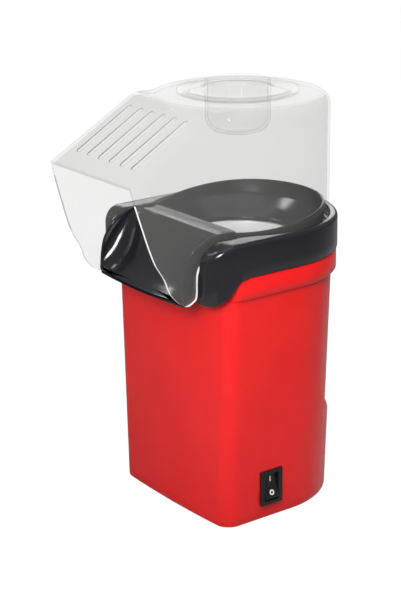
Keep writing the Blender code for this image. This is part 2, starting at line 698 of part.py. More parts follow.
def mica_card(notch_up):
    """A heater card with a half-height notch, so that two cards cross."""
    half, low, high, mid = 0.0270, 0.0880, 0.1130, 0.1005
    slit = 0.0007
    if notch_up:
        return [(-half, low), (half, low), (half, high), (slit, high),
                (slit, mid), (-slit, mid), (-slit, high), (-half, high)]
    return [(-half, low), (-slit, low), (-slit, mid), (slit, mid),
            (slit, low), (half, low), (half, high), (-half, high)]


def make_mica_cards(mat):
    thin = 0.0004
    across = [[(x, y, z) for x, z in mica_card(True)] for y in (-thin, thin)]
    along = [[(x, y, z) for y, z in mica_card(False)] for x in (-thin, thin)]
    add("mica_card_across", skin(across), mat, smooth=False)
    add("mica_card_along", skin(along), mat, smooth=False)


def make_heater_coil(mat):
    """Resistance wire wound round the cards in four turns."""
    turns, per_turn, radius, wire = 4, 14, 0.0285, 0.0008
    low, high = 0.0900, 0.1105
    rings = []
    count = turns * per_turn
    for i in range(count + 1):
        angle = 2 * math.pi * i / per_turn
        z = low + (high - low) * i / count
        ring = []
        for k in range(5):
            bend = 2 * math.pi * k / 5
            reach = radius + wire * math.cos(bend)
            height = z + wire * math.sin(bend)
            ring.append((reach * math.cos(angle), reach * math.sin(angle), height))
        rings.append(ring)
    return add("heater_coil", skin(rings), mat)


def make_chamber_seal(mat):
    """Soft ring between the chamber's flange and the funnel's underside."""
    low = CHAMBER_TOP + GAP
    profile = [(0.0462, low), (0.0500, low), (0.0500, low + 0.0012), (0.0478, low + 0.0012)]
    return add("chamber_seal", turned(profile, 28, closed=True), mat)


def make_protectors(steel, white):
    """Thermostat disc and thermal fuse clipped to the outside of the heater sleeve."""
    disc = round_bar(0.0070, (0.0485, 0.0, 0.1250), (0.0530, 0.0, 0.1250), 20)
    thermostat = add("thermostat", disc, white)
    for i, y in enumerate((-0.0045, 0.0045)):
        tab = box((0.0525, y - 0.0015, 0.1240), (0.0580, y + 0.0015, 0.1246))
        fuse(thermostat, tool(f"thermostat_tab_{i + 1}", tab))
    clip = box((-0.0530, -0.0080, 0.1180), (-0.0486, 0.0080, 0.1205))
    link = add("thermal_fuse", clip, steel, smooth=False)
    body = round_bar(0.0024, (-0.0509, -0.0095, 0.1225), (-0.0509, 0.0095, 0.1225), 12)
    fuse(link, tool("fuse_body", body))


# ---------------------------------------------------------------- fan and motor

def make_fan_housing(mat):
    """Plastic cup round the impeller, with intake windows in its floor and three ears."""
    radius, wall = 0.0500, 0.0020
    low, top = FAN_FLOOR, FAN_TOP
    profile = [(0.0050, low), (radius, low), (radius, top - 0.0025), (0.0540, top - 0.0025),
               (0.0540, top), (radius - wall - 0.0004, top), (radius - wall - 0.0004, low + wall),
               (0.0050, low + wall)]
    housing = add("fan_housing", turned(profile, 28, closed=True), mat)
    for i, angle in enumerate(post_angles()):
        ear = drill(0.0050, low, low + 0.0030)
        fuse(housing, tool(f"housing_ear_{i + 1}", ear, polar(POST_RADIUS, angle)))
        arm = box((-0.0040, 0.0470, low), (0.0040, POST_RADIUS, low + 0.0026))
        turn = Matrix.Rotation(math.radians(angle - 90), 3, "Z")
        bmesh.ops.rotate(arm, verts=arm.verts, matrix=turn)
        fuse(housing, tool(f"housing_arm_{i + 1}", arm))
        hole = drill(0.0017, low - 0.0040, low + 0.0080, 8)
        cut(housing, tool(f"housing_hole_{i + 1}", hole, polar(POST_RADIUS, angle)))
        boss = drill(0.0016, top - 0.0060, top + 0.0020, 8)
        cut(housing, tool(f"rim_hole_{i + 1}", boss, polar(SLEEVE_SCREWS, angle + 60.0)))
    for i in range(4):
        inner = arc((0.0, 0.0), 0.0180, 90.0 * i + 12, 90.0 * i + 78, 4)
        outer = arc((0.0, 0.0), 0.0340, 90.0 * i + 78, 90.0 * i + 12, 4)
        layers = [[(x, y, z) for x, y in inner + outer] for z in (low - 0.002, low + 0.006)]
        cut(housing, tool(f"fan_window_{i + 1}", skin(layers)))
    for i, x in enumerate(MOTOR_SCREWS):
        hole = drill(0.0013, low - 0.002, low + 0.006, 8)
        cut(housing, tool(f"motor_hole_{i + 1}", hole, (x, 0.0, 0.0)))
    return housing


def make_fan_impeller(mat):
    """Hub with twisted blades that push air up into the heater."""
    bore, hub_radius, low, top = 0.0013, 0.0085, 0.0600, 0.0755
    hub = [(bore, low), (hub_radius, low), (hub_radius, top - 0.0015), (hub_radius - 0.0015, top),
           (bore, top)]
    fan = add("fan_impeller", turned(hub, 20, closed=True), mat)
    thick = 0.0007
    keys = ((0.0070, 48, 0.0610, 0.0735), (0.0230, 38, 0.0605, 0.0740),
            (FAN_RADIUS, 30, 0.0615, 0.0730))
    stations = [keys[0]]
    for first, last in zip(keys, keys[1:]):
        for step in range(1, 5):
            stations.append([a + (b - a) * step / 4 for a, b in zip(first, last)])
    for i in range(FAN_BLADES):
        sections = []
        for radius, pitch, foot, tip in stations:
            run = (tip - foot) / 2 / math.tan(math.radians(pitch))
            sections.append([(radius, -run, foot), (radius, -run + thick, foot - thick),
                             (radius, run + thick, tip - thick), (radius, run, tip)])
        blade = skin(sections)
        turn = Matrix.Rotation(2 * math.pi * i / FAN_BLADES, 3, "Z")
        bmesh.ops.rotate(blade, verts=blade.verts, matrix=turn)
        fuse(fan, tool(f"blade_{i + 1}", blade))
    return fan


def make_motor(steel, black, copper, magnet):
    """Small direct-current motor: can, end cap, two magnets, wound rotor and shaft."""
    radius, low, top = MOTOR_RADIUS, MOTOR_LOW, MOTOR_TOP
    can = [(radius, low), (radius, top), (0.0040, top), (0.0040, top + 0.0006),
           (0.0016, top + 0.0006), (0.0016, top - 0.0010), (radius - 0.0010, top - 0.0010),
           (radius - 0.0010, low)]
    made = add("motor_can", turned(can, 20, closed=True), steel)
    for i, x in enumerate(MOTOR_SCREWS):
        bore = drill(0.0010, top - 0.0030, top + 0.0020, 8)
        cut(made, tool(f"can_bore_{i + 1}", bore, (x, 0.0, 0.0)))
    cap = [(radius - 0.0014, low + 0.0025), (radius - 0.0014, low - GAP), (radius, low - GAP),
           (radius, low - 0.0022), (0.0016, low - 0.0022), (0.0016, low + 0.0025)]
    add("motor_end_cap", turned(cap, 20, closed=True), black)
    for name, start in (("motor_magnet_left", 115.0), ("motor_magnet_right", -65.0)):
        outer = arc((0.0, 0.0), radius - 0.0014, start, start + 130.0, 8)
        inner = arc((0.0, 0.0), radius - 0.0036, start + 130.0, start, 8)
        layers = [[(x, y, z) for x, y in outer + inner] for z in (low + 0.0060, top - 0.0050)]
        add(name, skin(layers), magnet)
    core = []
    for k in range(3):
        base = 120.0 * k
        core += arc((0.0, 0.0), 0.0094, base - 48, base + 48, 5)
        core += arc((0.0, 0.0), 0.0045, base + 54, base + 66, 1)
    layers = [[(x, y, z) for x, y in core] for z in (low + 0.0100, top - 0.0090)]
    rotor = add("motor_rotor", skin(layers), copper)
    cut(rotor, tool("rotor_bore", drill(0.0014, low, top)))
    add("motor_shaft", turned([(0.0010, low + 0.0006), (0.0010, 0.0775), (0.0006, 0.0780)], 12), steel)


def make_rectifier_board(board):
    """Round board under the motor with its four diodes, moulded in one."""
    top = MOTOR_LOW - 0.0070
    disc = turned([(0.0150, top - 0.0016), (0.0150, top)], 20)
    made = add("rectifier_board", disc, board)
    for i in range(4):
        x, y, _ = polar(0.0090, 45.0 + 90.0 * i)
        bar = box((x - 0.0026, y - 0.0014, top - OVERLAP), (x + 0.0026, y + 0.0014, top + 0.0024))
        fuse(made, tool(f"diode_{i + 1}", bar))
    return made


# ---------------------------------------------------------------- leads inside

def lead(name, mat, points, radius=0.0010):
    """An insulated lead along a smooth curve through the given points."""
    smooth = []
    steps = 5
    padded = [Vector(p) for p in [points[0]] + points + [points[-1]]]
    for a, b, c, d in zip(padded, padded[1:], padded[2:], padded[3:]):
        for i in range(steps):
            t = i / steps
            bend = 2 * a - 5 * b + 4 * c - d
            twist = 3 * (b - c) + d - a
            smooth.append(b + 0.5 * t * (c - a + t * (bend + t * twist)))
    smooth.append(points[-1])
    curve = bpy.data.curves.new(name, "CURVE")
    curve.dimensions = "3D"
    curve.bevel_depth = radius
    curve.bevel_resolution = 0
    curve.use_fill_caps = True
    spline = curve.splines.new("POLY")
    spline.points.add(len(smooth) - 1)
    for target, spot in zip(spline.points, smooth):
        target.co = (*spot, 1.0)
    curve.materials.append(mat)
    made = bpy.data.objects.new(name, curve)
    made.parent = AXIS
    bpy.context.scene.collection.objects.link(made)
    return made


def make_leads(dark, pale):
    """Leads from the gland to the switch, from the switch to the thermostat and to the board."""
    back = shell_half(GLAND_Z) - 0.0085
    inside = shell_half(SWITCH_Z) - 0.0276
    lead("lead_gland_to_switch", dark,
         [(0.0, back, GLAND_Z), (0.0060, 0.0480, GLAND_Z), (0.0300, 0.0380, 0.0230),
          (0.0380, 0.0120, 0.0220), (0.0360, -0.0140, 0.0230), (inside, SWITCH_Y, SWITCH_Z)])
    lead("lead_switch_to_thermostat", pale,
         [(inside, SWITCH_Y, 0.0330), (0.0340, -0.0240, 0.0420), (0.0500, -0.0180, 0.0480),
          (0.0585, -0.0080, 0.0600), (0.0600, -0.0045, 0.0900), (0.0590, -0.0045, 0.1180),
          (0.0585, -0.0045, 0.1236)])
    lead("lead_board_to_gland", pale,
         [(0.0, 0.0156, 0.0110), (0.0, 0.0250, 0.0110), (-0.0060, 0.0400, 0.0180),
          (-0.0020, 0.0500, 0.0270), (0.0, back, GLAND_Z + 0.0025)])


# ---------------------------------------------------------------- assembly

def make_screws(steel):
    for i, (x, y) in enumerate(screw_spots()):
        screw(f"base_screw_{i + 1}", steel, x, y, 0.0024, -1, 0.0190)
    for i, angle in enumerate(post_angles()):
        x, y, _ = polar(POST_RADIUS, angle)
        screw(f"housing_screw_{i + 1}", steel, x, y, FAN_FLOOR + 0.0030 + GAP + 0.0014, 1, 0.0140)
        x, y, _ = polar(SLEEVE_SCREWS, angle + 60.0)
        head_z = FAN_TOP + GAP * 2 + 0.0024
        screw(f"sleeve_screw_{i + 1}", steel, x, y, head_z, 1, 0.0055, 0.0010, 0.0020)
    for i, angle in enumerate(chamber_screw_angles()):
        x, y, _ = polar(CHAMBER_SCREWS, angle)
        head_z = CHAMBER_TOP - 0.0015 - GAP - 0.0014
        screw(f"chamber_screw_{i + 1}", steel, x, y, head_z, -1, 0.0070, 0.0011, 0.0026)
    for i, x in enumerate(MOTOR_SCREWS):
        head_z = FAN_FLOOR + 0.0020 + GAP + 0.0014
        screw(f"motor_screw_{i + 1}", steel, x, 0.0, head_z, 1, 0.0050, 0.0008, 0.0018)


clear_scene()
AXIS = make_axis()

RED = material("gloss red", (0.62, 0.012, 0.012), 0.22)
BLACK = material("gloss black", (0.016, 0.017, 0.020), 0.28)
CLEAR = material("clear plastic", (0.93, 0.95, 0.94), 0.04, alpha=0.30)
SWITCH_BLACK = material("switch black", (0.02, 0.02, 0.022), 0.45)
RUBBER = material("foot rubber", (0.03, 0.03, 0.03), 0.85)
ALUMINIUM = material("chamber aluminium", (0.90, 0.91, 0.92), 0.30, 1.0)
SLEEVE = material("sleeve steel", (0.62, 0.62, 0.60), 0.40, 1.0)
STEEL = material("screw steel", (0.55, 0.55, 0.56), 0.35, 1.0)
MICA = material("mica", (0.55, 0.46, 0.30), 0.55)
WIRE = material("heater wire", (0.35, 0.32, 0.30), 0.45, 1.0)
WORKS = material("works plastic", (0.05, 0.05, 0.05), 0.55)
FAN = material("fan plastic", (0.75, 0.75, 0.72), 0.50)
CERAMIC = material("white ceramic", (0.86, 0.85, 0.80), 0.60)
MAGNET = material("magnet", (0.10, 0.10, 0.10), 0.70)
COPPER = material("rotor copper", (0.72, 0.36, 0.18), 0.40, 1.0)
BOARD = material("board", (0.06, 0.22, 0.10), 0.50)
SILICONE = material("seal silicone", (0.72, 0.20, 0.12), 0.65)
DARK_LEAD = material("dark lead", (0.03, 0.03, 0.03), 0.50)
PALE_LEAD = material("pale lead", (0.80, 0.78, 0.72), 0.55)

make_body_shell(RED)
make_top_collar(BLACK)
make_hood(CLEAR)
make_measuring_cup(CLEAR)
make_base_plate(WORKS)
make_feet(RUBBER)
make_switch(SWITCH_BLACK, SWITCH_BLACK)
make_cord_gland(SWITCH_BLACK)
make_popping_chamber(ALUMINIUM)
make_heater_housing(SLEEVE)
make_mica_cards(MICA)
make_heater_coil(WIRE)
make_chamber_seal(SILICONE)
make_protectors(STEEL, CERAMIC)
make_fan_housing(WORKS)
make_fan_impeller(FAN)
make_motor(STEEL, WORKS, COPPER, MAGNET)
make_rectifier_board(BOARD)
make_leads(DARK_LEAD, PALE_LEAD)
make_screws(STEEL)
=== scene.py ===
"""Looks of the hot-air popcorn maker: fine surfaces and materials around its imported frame.

Lengths are in metres, angles in degrees and the camera's lens in millimetres. A piece is drawn
about the popping chamber's axis and then moved onto it; +Z is up, -Y is the front where the
popcorn comes out, +X is the switch's side.
"""
import json
import math

import bmesh
import bpy
import numpy as np
from mathutils import Matrix, Vector


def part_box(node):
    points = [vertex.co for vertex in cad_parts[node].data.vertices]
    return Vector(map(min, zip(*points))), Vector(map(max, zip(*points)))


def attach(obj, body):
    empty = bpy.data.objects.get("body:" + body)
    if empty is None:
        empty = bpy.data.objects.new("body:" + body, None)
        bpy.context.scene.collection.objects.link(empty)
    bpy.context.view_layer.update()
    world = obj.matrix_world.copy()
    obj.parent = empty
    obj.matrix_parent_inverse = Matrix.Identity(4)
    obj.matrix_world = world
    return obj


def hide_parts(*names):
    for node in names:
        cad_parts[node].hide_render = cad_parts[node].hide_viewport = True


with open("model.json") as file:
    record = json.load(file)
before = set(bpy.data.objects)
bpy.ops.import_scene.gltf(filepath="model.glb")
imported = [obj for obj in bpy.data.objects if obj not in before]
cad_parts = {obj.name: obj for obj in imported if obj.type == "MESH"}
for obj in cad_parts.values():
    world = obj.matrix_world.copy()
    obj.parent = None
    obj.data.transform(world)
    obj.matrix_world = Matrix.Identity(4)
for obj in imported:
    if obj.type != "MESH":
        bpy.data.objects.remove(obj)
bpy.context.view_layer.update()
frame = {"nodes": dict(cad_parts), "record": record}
POT_LOW, POT_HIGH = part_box("popping_chamber")
AXIS_Y = (POT_LOW[1] + POT_HIGH[1]) / 2

# Camera
AZIMUTH = 53.55
ELEVATION = 18.46
ROLL = -0.62
DISTANCE = 1.2262
LENS = 101.2
TARGET = Vector((0.0, -0.0073, 0.1537))

# Red shell: HALF is a half width in X, FRONT the reach of the bowed front from the pot's axis
SHELL_BOTTOM = 0.0020
SEAM_Z = 0.1750
BAND_TOP = 0.1904
SHELL_TOP = 0.2000
SHELL_WALL = 0.0025
HALF_LOW = 0.0648
HALF_HIGH = 0.0700
SPIGOT_HALF = 0.0692
SHELL_FRONT = 0.0642
SHELL_CORNER = 0.0115
FRONT_BOW = 0.90
BAND_PROUD = 0.0014
RECESS_DEPTH = 0.0022
RECESS_HALF_ANGLE = 66.0
RECESS_SIDE_Z = 0.0970
RECESS_LOW_Z = 0.0470
RECESS_POWER = 1.6

# Black collar
COLLAR_HALF = 0.0721
COLLAR_FRONT = 0.0780
COLLAR_CORNER = 0.0180
COLLAR_TOP = 0.2157
COLLAR_EDGE = 0.0032
COLLAR_SKIRT = 0.1910
COLLAR_WALL = 0.0017
LEDGE_Z = 0.2080
LEDGE_RADIUS = 0.0665
SLOT_HALF = 0.0550
RIM_FRONT_Z = 0.2167
RIM_BACK_Z = 0.2240
SPOUT_BOW = 0.0035

# Clear hood and cup: the chute runs from the round part down to the lip, given as (y, z)
HOOD_RADIUS = 0.0659
HOOD_TOP = 0.3030
HOOD_WALL = 0.0020
HOOD_EDGE = 0.0080
HOOD_HOLE = 0.0360
CHUTE_HALF = 0.0472
CHUTE_DRAFT = 0.055
HOOD_LIP = (-0.1272, 0.2630)
HOOD_FOLD_Y = -0.0585
SLOPE = (HOOD_TOP - HOOD_LIP[1]) / (HOOD_FOLD_Y - HOOD_LIP[0])
SLOPE_OUT = Vector((0.0, -SLOPE, 1.0)).normalized()
TAB_START_Y = -0.0560
# Below these heights the tabs' cut edges get the painted white highlight, above them a painted dark
# line; the right tab's highlight reaches higher
RIGHT_TAB_PAINTED_HIGHLIGHT_BELOW = 0.2500
LEFT_TAB_PAINTED_HIGHLIGHT_BELOW = 0.2100
VENT_COUNT = 6
VENT_PITCH = 0.01335
VENT_WIDTH = 0.0040
VENT_ENDS_Y = (-0.0690, -0.1145)
CUP_RADIUS = 0.0235
CUP_FLANGE = 0.0439
CUP_TOP = 0.3120
CUP_BOTTOM = 0.2740
CUP_WALL = 0.0018
# The hood's material slots, in order: clear wall, painted white highlight, painted dark rim line,
# painted paler slot wall, painted dark chamfer line, painted dark lip line
HOOD_LOOKS = ("clear", "edge", "rim", "slot", "line", "lip")

# Rocker switch and bushing
SWITCH_Y = -0.0220
SWITCH_Z = 0.0265
SWITCH_WIDE = 0.0200
SWITCH_TALL = 0.0270
ROCKER_WIDE = 0.0120
ROCKER_TALL = 0.0200
ROCKER_TILT = 12.0
# Radius of the rocker's hollow face, and how far its centre is in front of the pivot
ROCKER_HOLLOW = 0.0260
ROCKER_HOLLOW_X = 0.0290
MARK_Z = 0.0052
MARK_DEPTH = 0.00025
GLAND_Z = 0.0240
GLAND_HOLE = 0.0050

# Popping chamber
CHAMBER_RADIUS = 0.0440
CHAMBER_LOW = 0.1180
CHAMBER_TOP = 0.1958
CHAMBER_WALL = 0.0010
LOUVRE_COUNT = 12
LOUVRE_SIZE = Vector((0.0080, 0.0028, 0.0105))
LOUVRE_LEAN = -28.0

# Edges that turn by more than this stay sharp when a piece is shaded smooth
SHARP_ANGLE = math.radians(40.0)


# ---------------------------------------------------------------- node materials

class Nodes:
    """A material's node tree with short calls for the nodes that the looks need."""

    def __init__(self, name):
        self.material = bpy.data.materials.new(name)
        self.material.use_nodes = True
        self.tree = self.material.node_tree
        self.shader = self.tree.nodes["Principled BSDF"]
        self.place = self.new("ShaderNodeTexCoord").outputs["Object"]

    def new(self, kind, **settings):
        node = self.tree.nodes.new(kind)
        for key, value in settings.items():
            setattr(node, key, value)
        return node

    def link(self, source, target):
        self.tree.links.new(source, target)

    def noise(self, scale, detail=3.0, stretch=(1.0, 1.0, 1.0)):
        """Noise in the object's own space; scale is in features per metre."""
        mapping = self.new("ShaderNodeMapping")
        mapping.inputs["Scale"].default_value = stretch
        self.link(self.place, mapping.inputs["Vector"])
        node = self.new("ShaderNodeTexNoise")
        node.inputs["Scale"].default_value = scale
        node.inputs["Detail"].default_value = detail
        self.link(mapping.outputs["Vector"], node.inputs["Vector"])
        return node.outputs["Fac"]

    def remap(self, value, low, high, start=0.3, end=0.7):
        node = self.new("ShaderNodeMapRange")
        node.inputs["From Min"].default_value = start
        node.inputs["From Max"].default_value = end
        node.inputs["To Min"].default_value = low
        node.inputs["To Max"].default_value = high
        self.link(value, node.inputs["Value"])
        return node.outputs["Result"]

    def blend(self, factor, first, second):
        node = self.new("ShaderNodeMix", data_type="RGBA")
        self.link(factor, node.inputs["Factor"])
        for socket, colour in ((node.inputs["A"], first), (node.inputs["B"], second)):
            if isinstance(colour, bpy.types.NodeSocket):
                self.link(colour, socket)
            else:
                socket.default_value = (*colour, 1.0)
        return node.outputs["Result"]

    def bump(self, value, distance):
        node = self.new("ShaderNodeBump")
        node.inputs["Strength"].default_value = 1.0
        node.inputs["Distance"].default_value = distance
        self.link(value, node.inputs["Height"])
        self.link(node.outputs["Normal"], self.shader.inputs["Normal"])

    def set(self, **values):
        for key, value in values.items():
            self.shader.inputs[key.replace("_", " ")].default_value = value


def moulded(name, colour, shade, rough, grain=900.0, depth=0.00001, mottle=22.0, ior=1.50):
    """A moulded plastic: slight shade drift, smudged gloss and faint orange peel."""
    made = Nodes(name)
    factor = made.remap(made.noise(mottle, 4.0), 0.0, 1.0)
    made.link(made.blend(factor, colour, shade), made.shader.inputs["Base Color"])
    low, high = rough
    made.link(made.remap(made.noise(24.0, 2.0), low, high), made.shader.inputs["Roughness"])
    made.bump(made.noise(grain, 2.0), depth)
    made.set(IOR=ior)
    return made


def metal(name, colour, shade, rough, scale=120.0):
    """A drawn or rolled metal with fine marks along one direction."""
    made = Nodes(name)
    marks = made.noise(scale, 6.0, (1.0, 1.0, 14.0))
    made.link(made.blend(made.remap(marks, 0.0, 1.0), colour, shade), made.shader.inputs["Base Color"])
    low, high = rough
    made.link(made.remap(marks, low, high), made.shader.inputs["Roughness"])
    made.bump(marks, 0.00002)
    made.set(Metallic=1.0)
    return made


def clear(name, colour, facing, grazing, rough=0.03, start=0.70):
    """Thin clear plastic: almost open face on, and a pale skin where it turns away."""
    made = Nodes(name)
    haze = made.remap(made.noise(16.0, 3.0), 0.92, 1.0)
    dimmer = [share * 0.9 for share in colour]
    made.link(made.blend(haze, dimmer, colour), made.shader.inputs["Base Color"])
    layer = made.new("ShaderNodeLayerWeight")
    layer.inputs["Blend"].default_value = 0.30
    made.link(made.remap(layer.outputs["Facing"], facing, grazing, start, 1.0),
              made.shader.inputs["Alpha"])
    made.link(made.remap(made.noise(60.0, 4.0), rough, rough + 0.05), made.shader.inputs["Roughness"])
    made.set(IOR=1.49)
    return made


def make_materials():
    """Every look by name; dress_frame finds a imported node's look by the name of its slot."""
    red = moulded("red_plastic", (0.80, 0.012, 0.013), (0.74, 0.010, 0.011), (0.22, 0.27), ior=1.40,
                  depth=0.000002)
    black = moulded("black_plastic", (0.010, 0.010, 0.013), (0.014, 0.014, 0.018), (0.12, 0.20))
    made = {
        "shell": red,
        "collar": black,
        "clear": clear("clear_plastic", (0.23, 0.23, 0.215), 0.12, 0.36),
        # Painted white highlight for the clear plastic's cut edges
        "edge": clear("clear_plastic_painted_highlight", (0.98, 0.98, 0.98), 0.92, 0.97, 0.15),
        # Painted dark line on the tabs' cut edges above the painted highlight
        "rim": clear("clear_plastic_painted_dark_rim", (0.05, 0.05, 0.05), 0.56, 0.70, 0.20),
        # Painted dark line on the lip's front cut face
        "lip": clear("clear_plastic_painted_dark_lip", (0.05, 0.05, 0.05), 0.20, 0.28, 0.20),
        # Painted dark lines on the vent slots' outer chamfers
        "line": clear("clear_plastic_painted_dark_line", (0.02, 0.02, 0.02), 0.80, 0.90, 0.45),
        # Slot walls painted a paler grey for the light caught on them
        "slot": clear("clear_plastic_painted_pale_slot", (0.55, 0.56, 0.54), 0.14, 0.24, 0.10),
        "cup": clear("cup_plastic", (0.26, 0.26, 0.25), 0.035, 0.62, start=0.55),
        "switch": moulded("switch_plastic", (0.005, 0.005, 0.006), (0.009, 0.009, 0.010),
                          (0.28, 0.40), grain=2600.0, depth=0.00001, ior=1.40),
        "mark": moulded("white_marks", (0.80, 0.80, 0.78), (0.74, 0.74, 0.72), (0.45, 0.55)),
        "rubber": moulded("foot_rubber", (0.022, 0.022, 0.022), (0.034, 0.034, 0.033),
                          (0.75, 0.92), grain=2200.0, depth=0.00005, ior=1.45),
        "chamber": metal("drawn_aluminium", (0.96, 0.97, 0.98), (0.91, 0.92, 0.93), (0.28, 0.42)),
        "sleeve": metal("sleeve_steel", (0.62, 0.62, 0.60), (0.52, 0.52, 0.50), (0.32, 0.48)),
        "steel": metal("zinc_steel", (0.58, 0.58, 0.60), (0.46, 0.46, 0.47), (0.28, 0.44), scale=400.0),
        "mica": moulded("mica_sheet", (0.50, 0.41, 0.26), (0.36, 0.28, 0.17), (0.40, 0.60),
                        mottle=260.0),
        "wire": metal("heater_wire", (0.36, 0.32, 0.30), (0.24, 0.20, 0.19), (0.38, 0.55), scale=500.0),
        "works": moulded("works_plastic", (0.040, 0.040, 0.042), (0.056, 0.056, 0.058),
                         (0.45, 0.62), grain=1500.0, depth=0.00004),
        "fan": moulded("fan_plastic", (0.70, 0.69, 0.65), (0.62, 0.61, 0.57), (0.42, 0.55)),
        "ceramic": moulded("white_ceramic", (0.84, 0.82, 0.77), (0.76, 0.74, 0.69), (0.50, 0.65),
                           grain=1800.0, depth=0.00004),
        "magnet": moulded("ferrite", (0.085, 0.085, 0.090), (0.060, 0.060, 0.062), (0.60, 0.75)),
        "rotor": metal("wound_copper", (0.80, 0.38, 0.20), (0.62, 0.26, 0.13), (0.30, 0.46),
                       scale=900.0),
        "board": moulded("circuit_board", (0.045, 0.20, 0.085), (0.030, 0.14, 0.060), (0.35, 0.5),
                         mottle=160.0),
        "seal": moulded("seal_silicone", (0.66, 0.17, 0.10), (0.58, 0.14, 0.08), (0.55, 0.70)),
        "dark_lead": moulded("dark_lead", (0.022, 0.022, 0.022), (0.032, 0.032, 0.032), (0.40, 0.55)),
        "pale_lead": moulded("pale_lead", (0.72, 0.70, 0.63), (0.64, 0.62, 0.55), (0.45, 0.60)),
    }
    made["chamber"].set(Metallic=0.20)
    return {name: item.material for name, item in made.items()}


# ---------------------------------------------------------------- mesh helpers

def grid_mesh(name, grid, around=False, along=False, ends=False):
    """A surface from rows of points; around closes each row, along joins the last row to the first."""
    grid = np.asarray(grid, float)
    rows, columns, _ = grid.shape
    bm = bmesh.new()
    verts = [[bm.verts.new(point) for point in row] for row in grid]
    for i in range(rows if along else rows - 1):
        low, high = verts[i], verts[(i + 1) % rows]
        for j in range(columns if around else columns - 1):
            k = (j + 1) % columns
            bm.faces.new((low[j], low[k], high[k], high[j]))
    if ends:
        bm.faces.new(reversed(verts[0]))
        bm.faces.new(verts[-1])
    bmesh.ops.remove_doubles(bm, verts=bm.verts, dist=1e-6)
    bmesh.ops.dissolve_degenerate(bm, edges=bm.edges, dist=1e-6)
    return as_object(name, bm)


def as_object(name, bm):
    """An object on the pot's axis from a bmesh, shaded smooth but for its sharp edges."""
    bmesh.ops.recalc_face_normals(bm, faces=bm.faces)
    mesh = bpy.data.meshes.new(name)
    bm.to_mesh(mesh)
    bm.free()
    mesh.shade_smooth()
    mesh.set_sharp_from_angle(angle=SHARP_ANGLE)
    made = bpy.data.objects.new(name, mesh)
    made.location = (0.0, AXIS_Y, 0.0)
    bpy.context.scene.collection.objects.link(made)
    return made


def settle(piece):
    """Make what the piece's modifiers show its own mesh."""
    graph = bpy.context.evaluated_depsgraph_get()
    mesh = bpy.data.meshes.new_from_object(piece.evaluated_get(graph))
    piece.modifiers.clear()
    piece.data = mesh
    mesh.shade_smooth()
    mesh.set_sharp_from_angle(angle=SHARP_ANGLE)
    return piece


def boolean(piece, operand, operation="DIFFERENCE"):
    """Cut the operand from the piece, or join it on, and use the operand up."""
    step = piece.modifiers.new("step", "BOOLEAN")
    step.operation = operation
    step.solver = "EXACT"
    step.object = operand
    settle(piece)
    bpy.data.objects.remove(operand)
    return piece


def rounded(piece, width, steps=3, angle=30.0):
    """Round the piece's sharp edges."""
    bevel = piece.modifiers.new("round", "BEVEL")
    bevel.width = width
    bevel.segments = steps
    bevel.limit_method = "ANGLE"
    bevel.angle_limit = math.radians(angle)
    return settle(piece)


def arc(centre, radius, start, end, steps):
    """Points along an arc, from one angle to another."""
    angles = np.radians(np.linspace(start, end, steps + 1))
    return [(centre[0] + radius * math.cos(a), centre[1] + radius * math.sin(a)) for a in angles]


def circle(radius, z, steps):
    return [(x, y, z) for x, y in arc((0.0, 0.0), radius, 0.0, 360.0, steps)[:-1]]


def turned(name, profile, steps=96, closed=False):
    """A turned piece from (radius, height) points."""
    rings = [circle(max(radius, 1e-5), z, steps) for radius, z in profile]
    return grid_mesh(name, rings, around=True, along=closed, ends=not closed)


def smooth_profile(points, per_span=6):
    """A rounder polyline through the given points."""
    points = [np.array(p, float) for p in points]
    padded = [2 * points[0] - points[1]] + points + [2 * points[-1] - points[-2]]
    out = []
    for a, b, c, d in zip(padded, padded[1:], padded[2:], padded[3:]):
        for i in range(per_span):
            t = i / per_span
            bend = 2 * a - 5 * b + 4 * c - d
            twist = 3 * (b - c) + d - a
            out.append(b + 0.5 * t * (c - a + t * (bend + t * twist)))
    out.append(points[-1])
    return out


def curve_value(points, per_span=8):
    """A function y -> z along a smooth curve given by points of falling y."""
    fine = np.array(smooth_profile(points, per_span))[::-1]
    return lambda y: float(np.interp(y, fine[:, 0], fine[:, 1]))


def ease(value):
    """A smooth step from 0 to 1 as the value goes from 0 to 1."""
    value = min(1.0, max(0.0, value))
    return value * value * (3 - 2 * value)


def d_plan(half, front, corner, z, back=96, corner_steps=10, front_steps=14, side_steps=6):
    """Plan of shell and collar: half circle at the back, straight sides, bowed front."""
    bow_y = FRONT_BOW - front
    reach = FRONT_BOW - corner
    corner_x = half - corner
    corner_y = bow_y - math.sqrt(reach ** 2 - corner_x ** 2)
    tilt = math.degrees(math.asin(corner_x / reach))
    points = arc((0.0, 0.0), half, 0.0, 180.0, back)
    points += [(-half, corner_y * i / side_steps) for i in range(1, side_steps)]
    points += arc((-corner_x, corner_y), corner, 180.0, 270.0 - tilt, corner_steps)
    points += arc((0.0, bow_y), FRONT_BOW, 270.0 - tilt, 270.0 + tilt, front_steps)[1:-1]
    points += arc((corner_x, corner_y), corner, 270.0 + tilt, 360.0, corner_steps)
    points += [(half, corner_y * i / side_steps) for i in range(side_steps - 1, 0, -1)]
    return [(x, y, z) for x, y in points]


def prism(name, outline, half_width):
    """A (y, z) outline extruded along X, to a half width that follows the height."""
    rows = [[(side * half_width(z), y, z) for y, z in outline] for side in (-1, 1)]
    return grid_mesh(name, rows, around=True, ends=True)


def box(name, low, high):
    bm = bmesh.new()
    size = [b - a for a, b in zip(low, high)]
    middle = [(a + b) / 2 for a, b in zip(low, high)]
    place = Matrix.Translation(middle) @ Matrix.Diagonal((*size, 1.0))
    bmesh.ops.create_cube(bm, size=1.0, matrix=place)
    return as_object(name, bm)


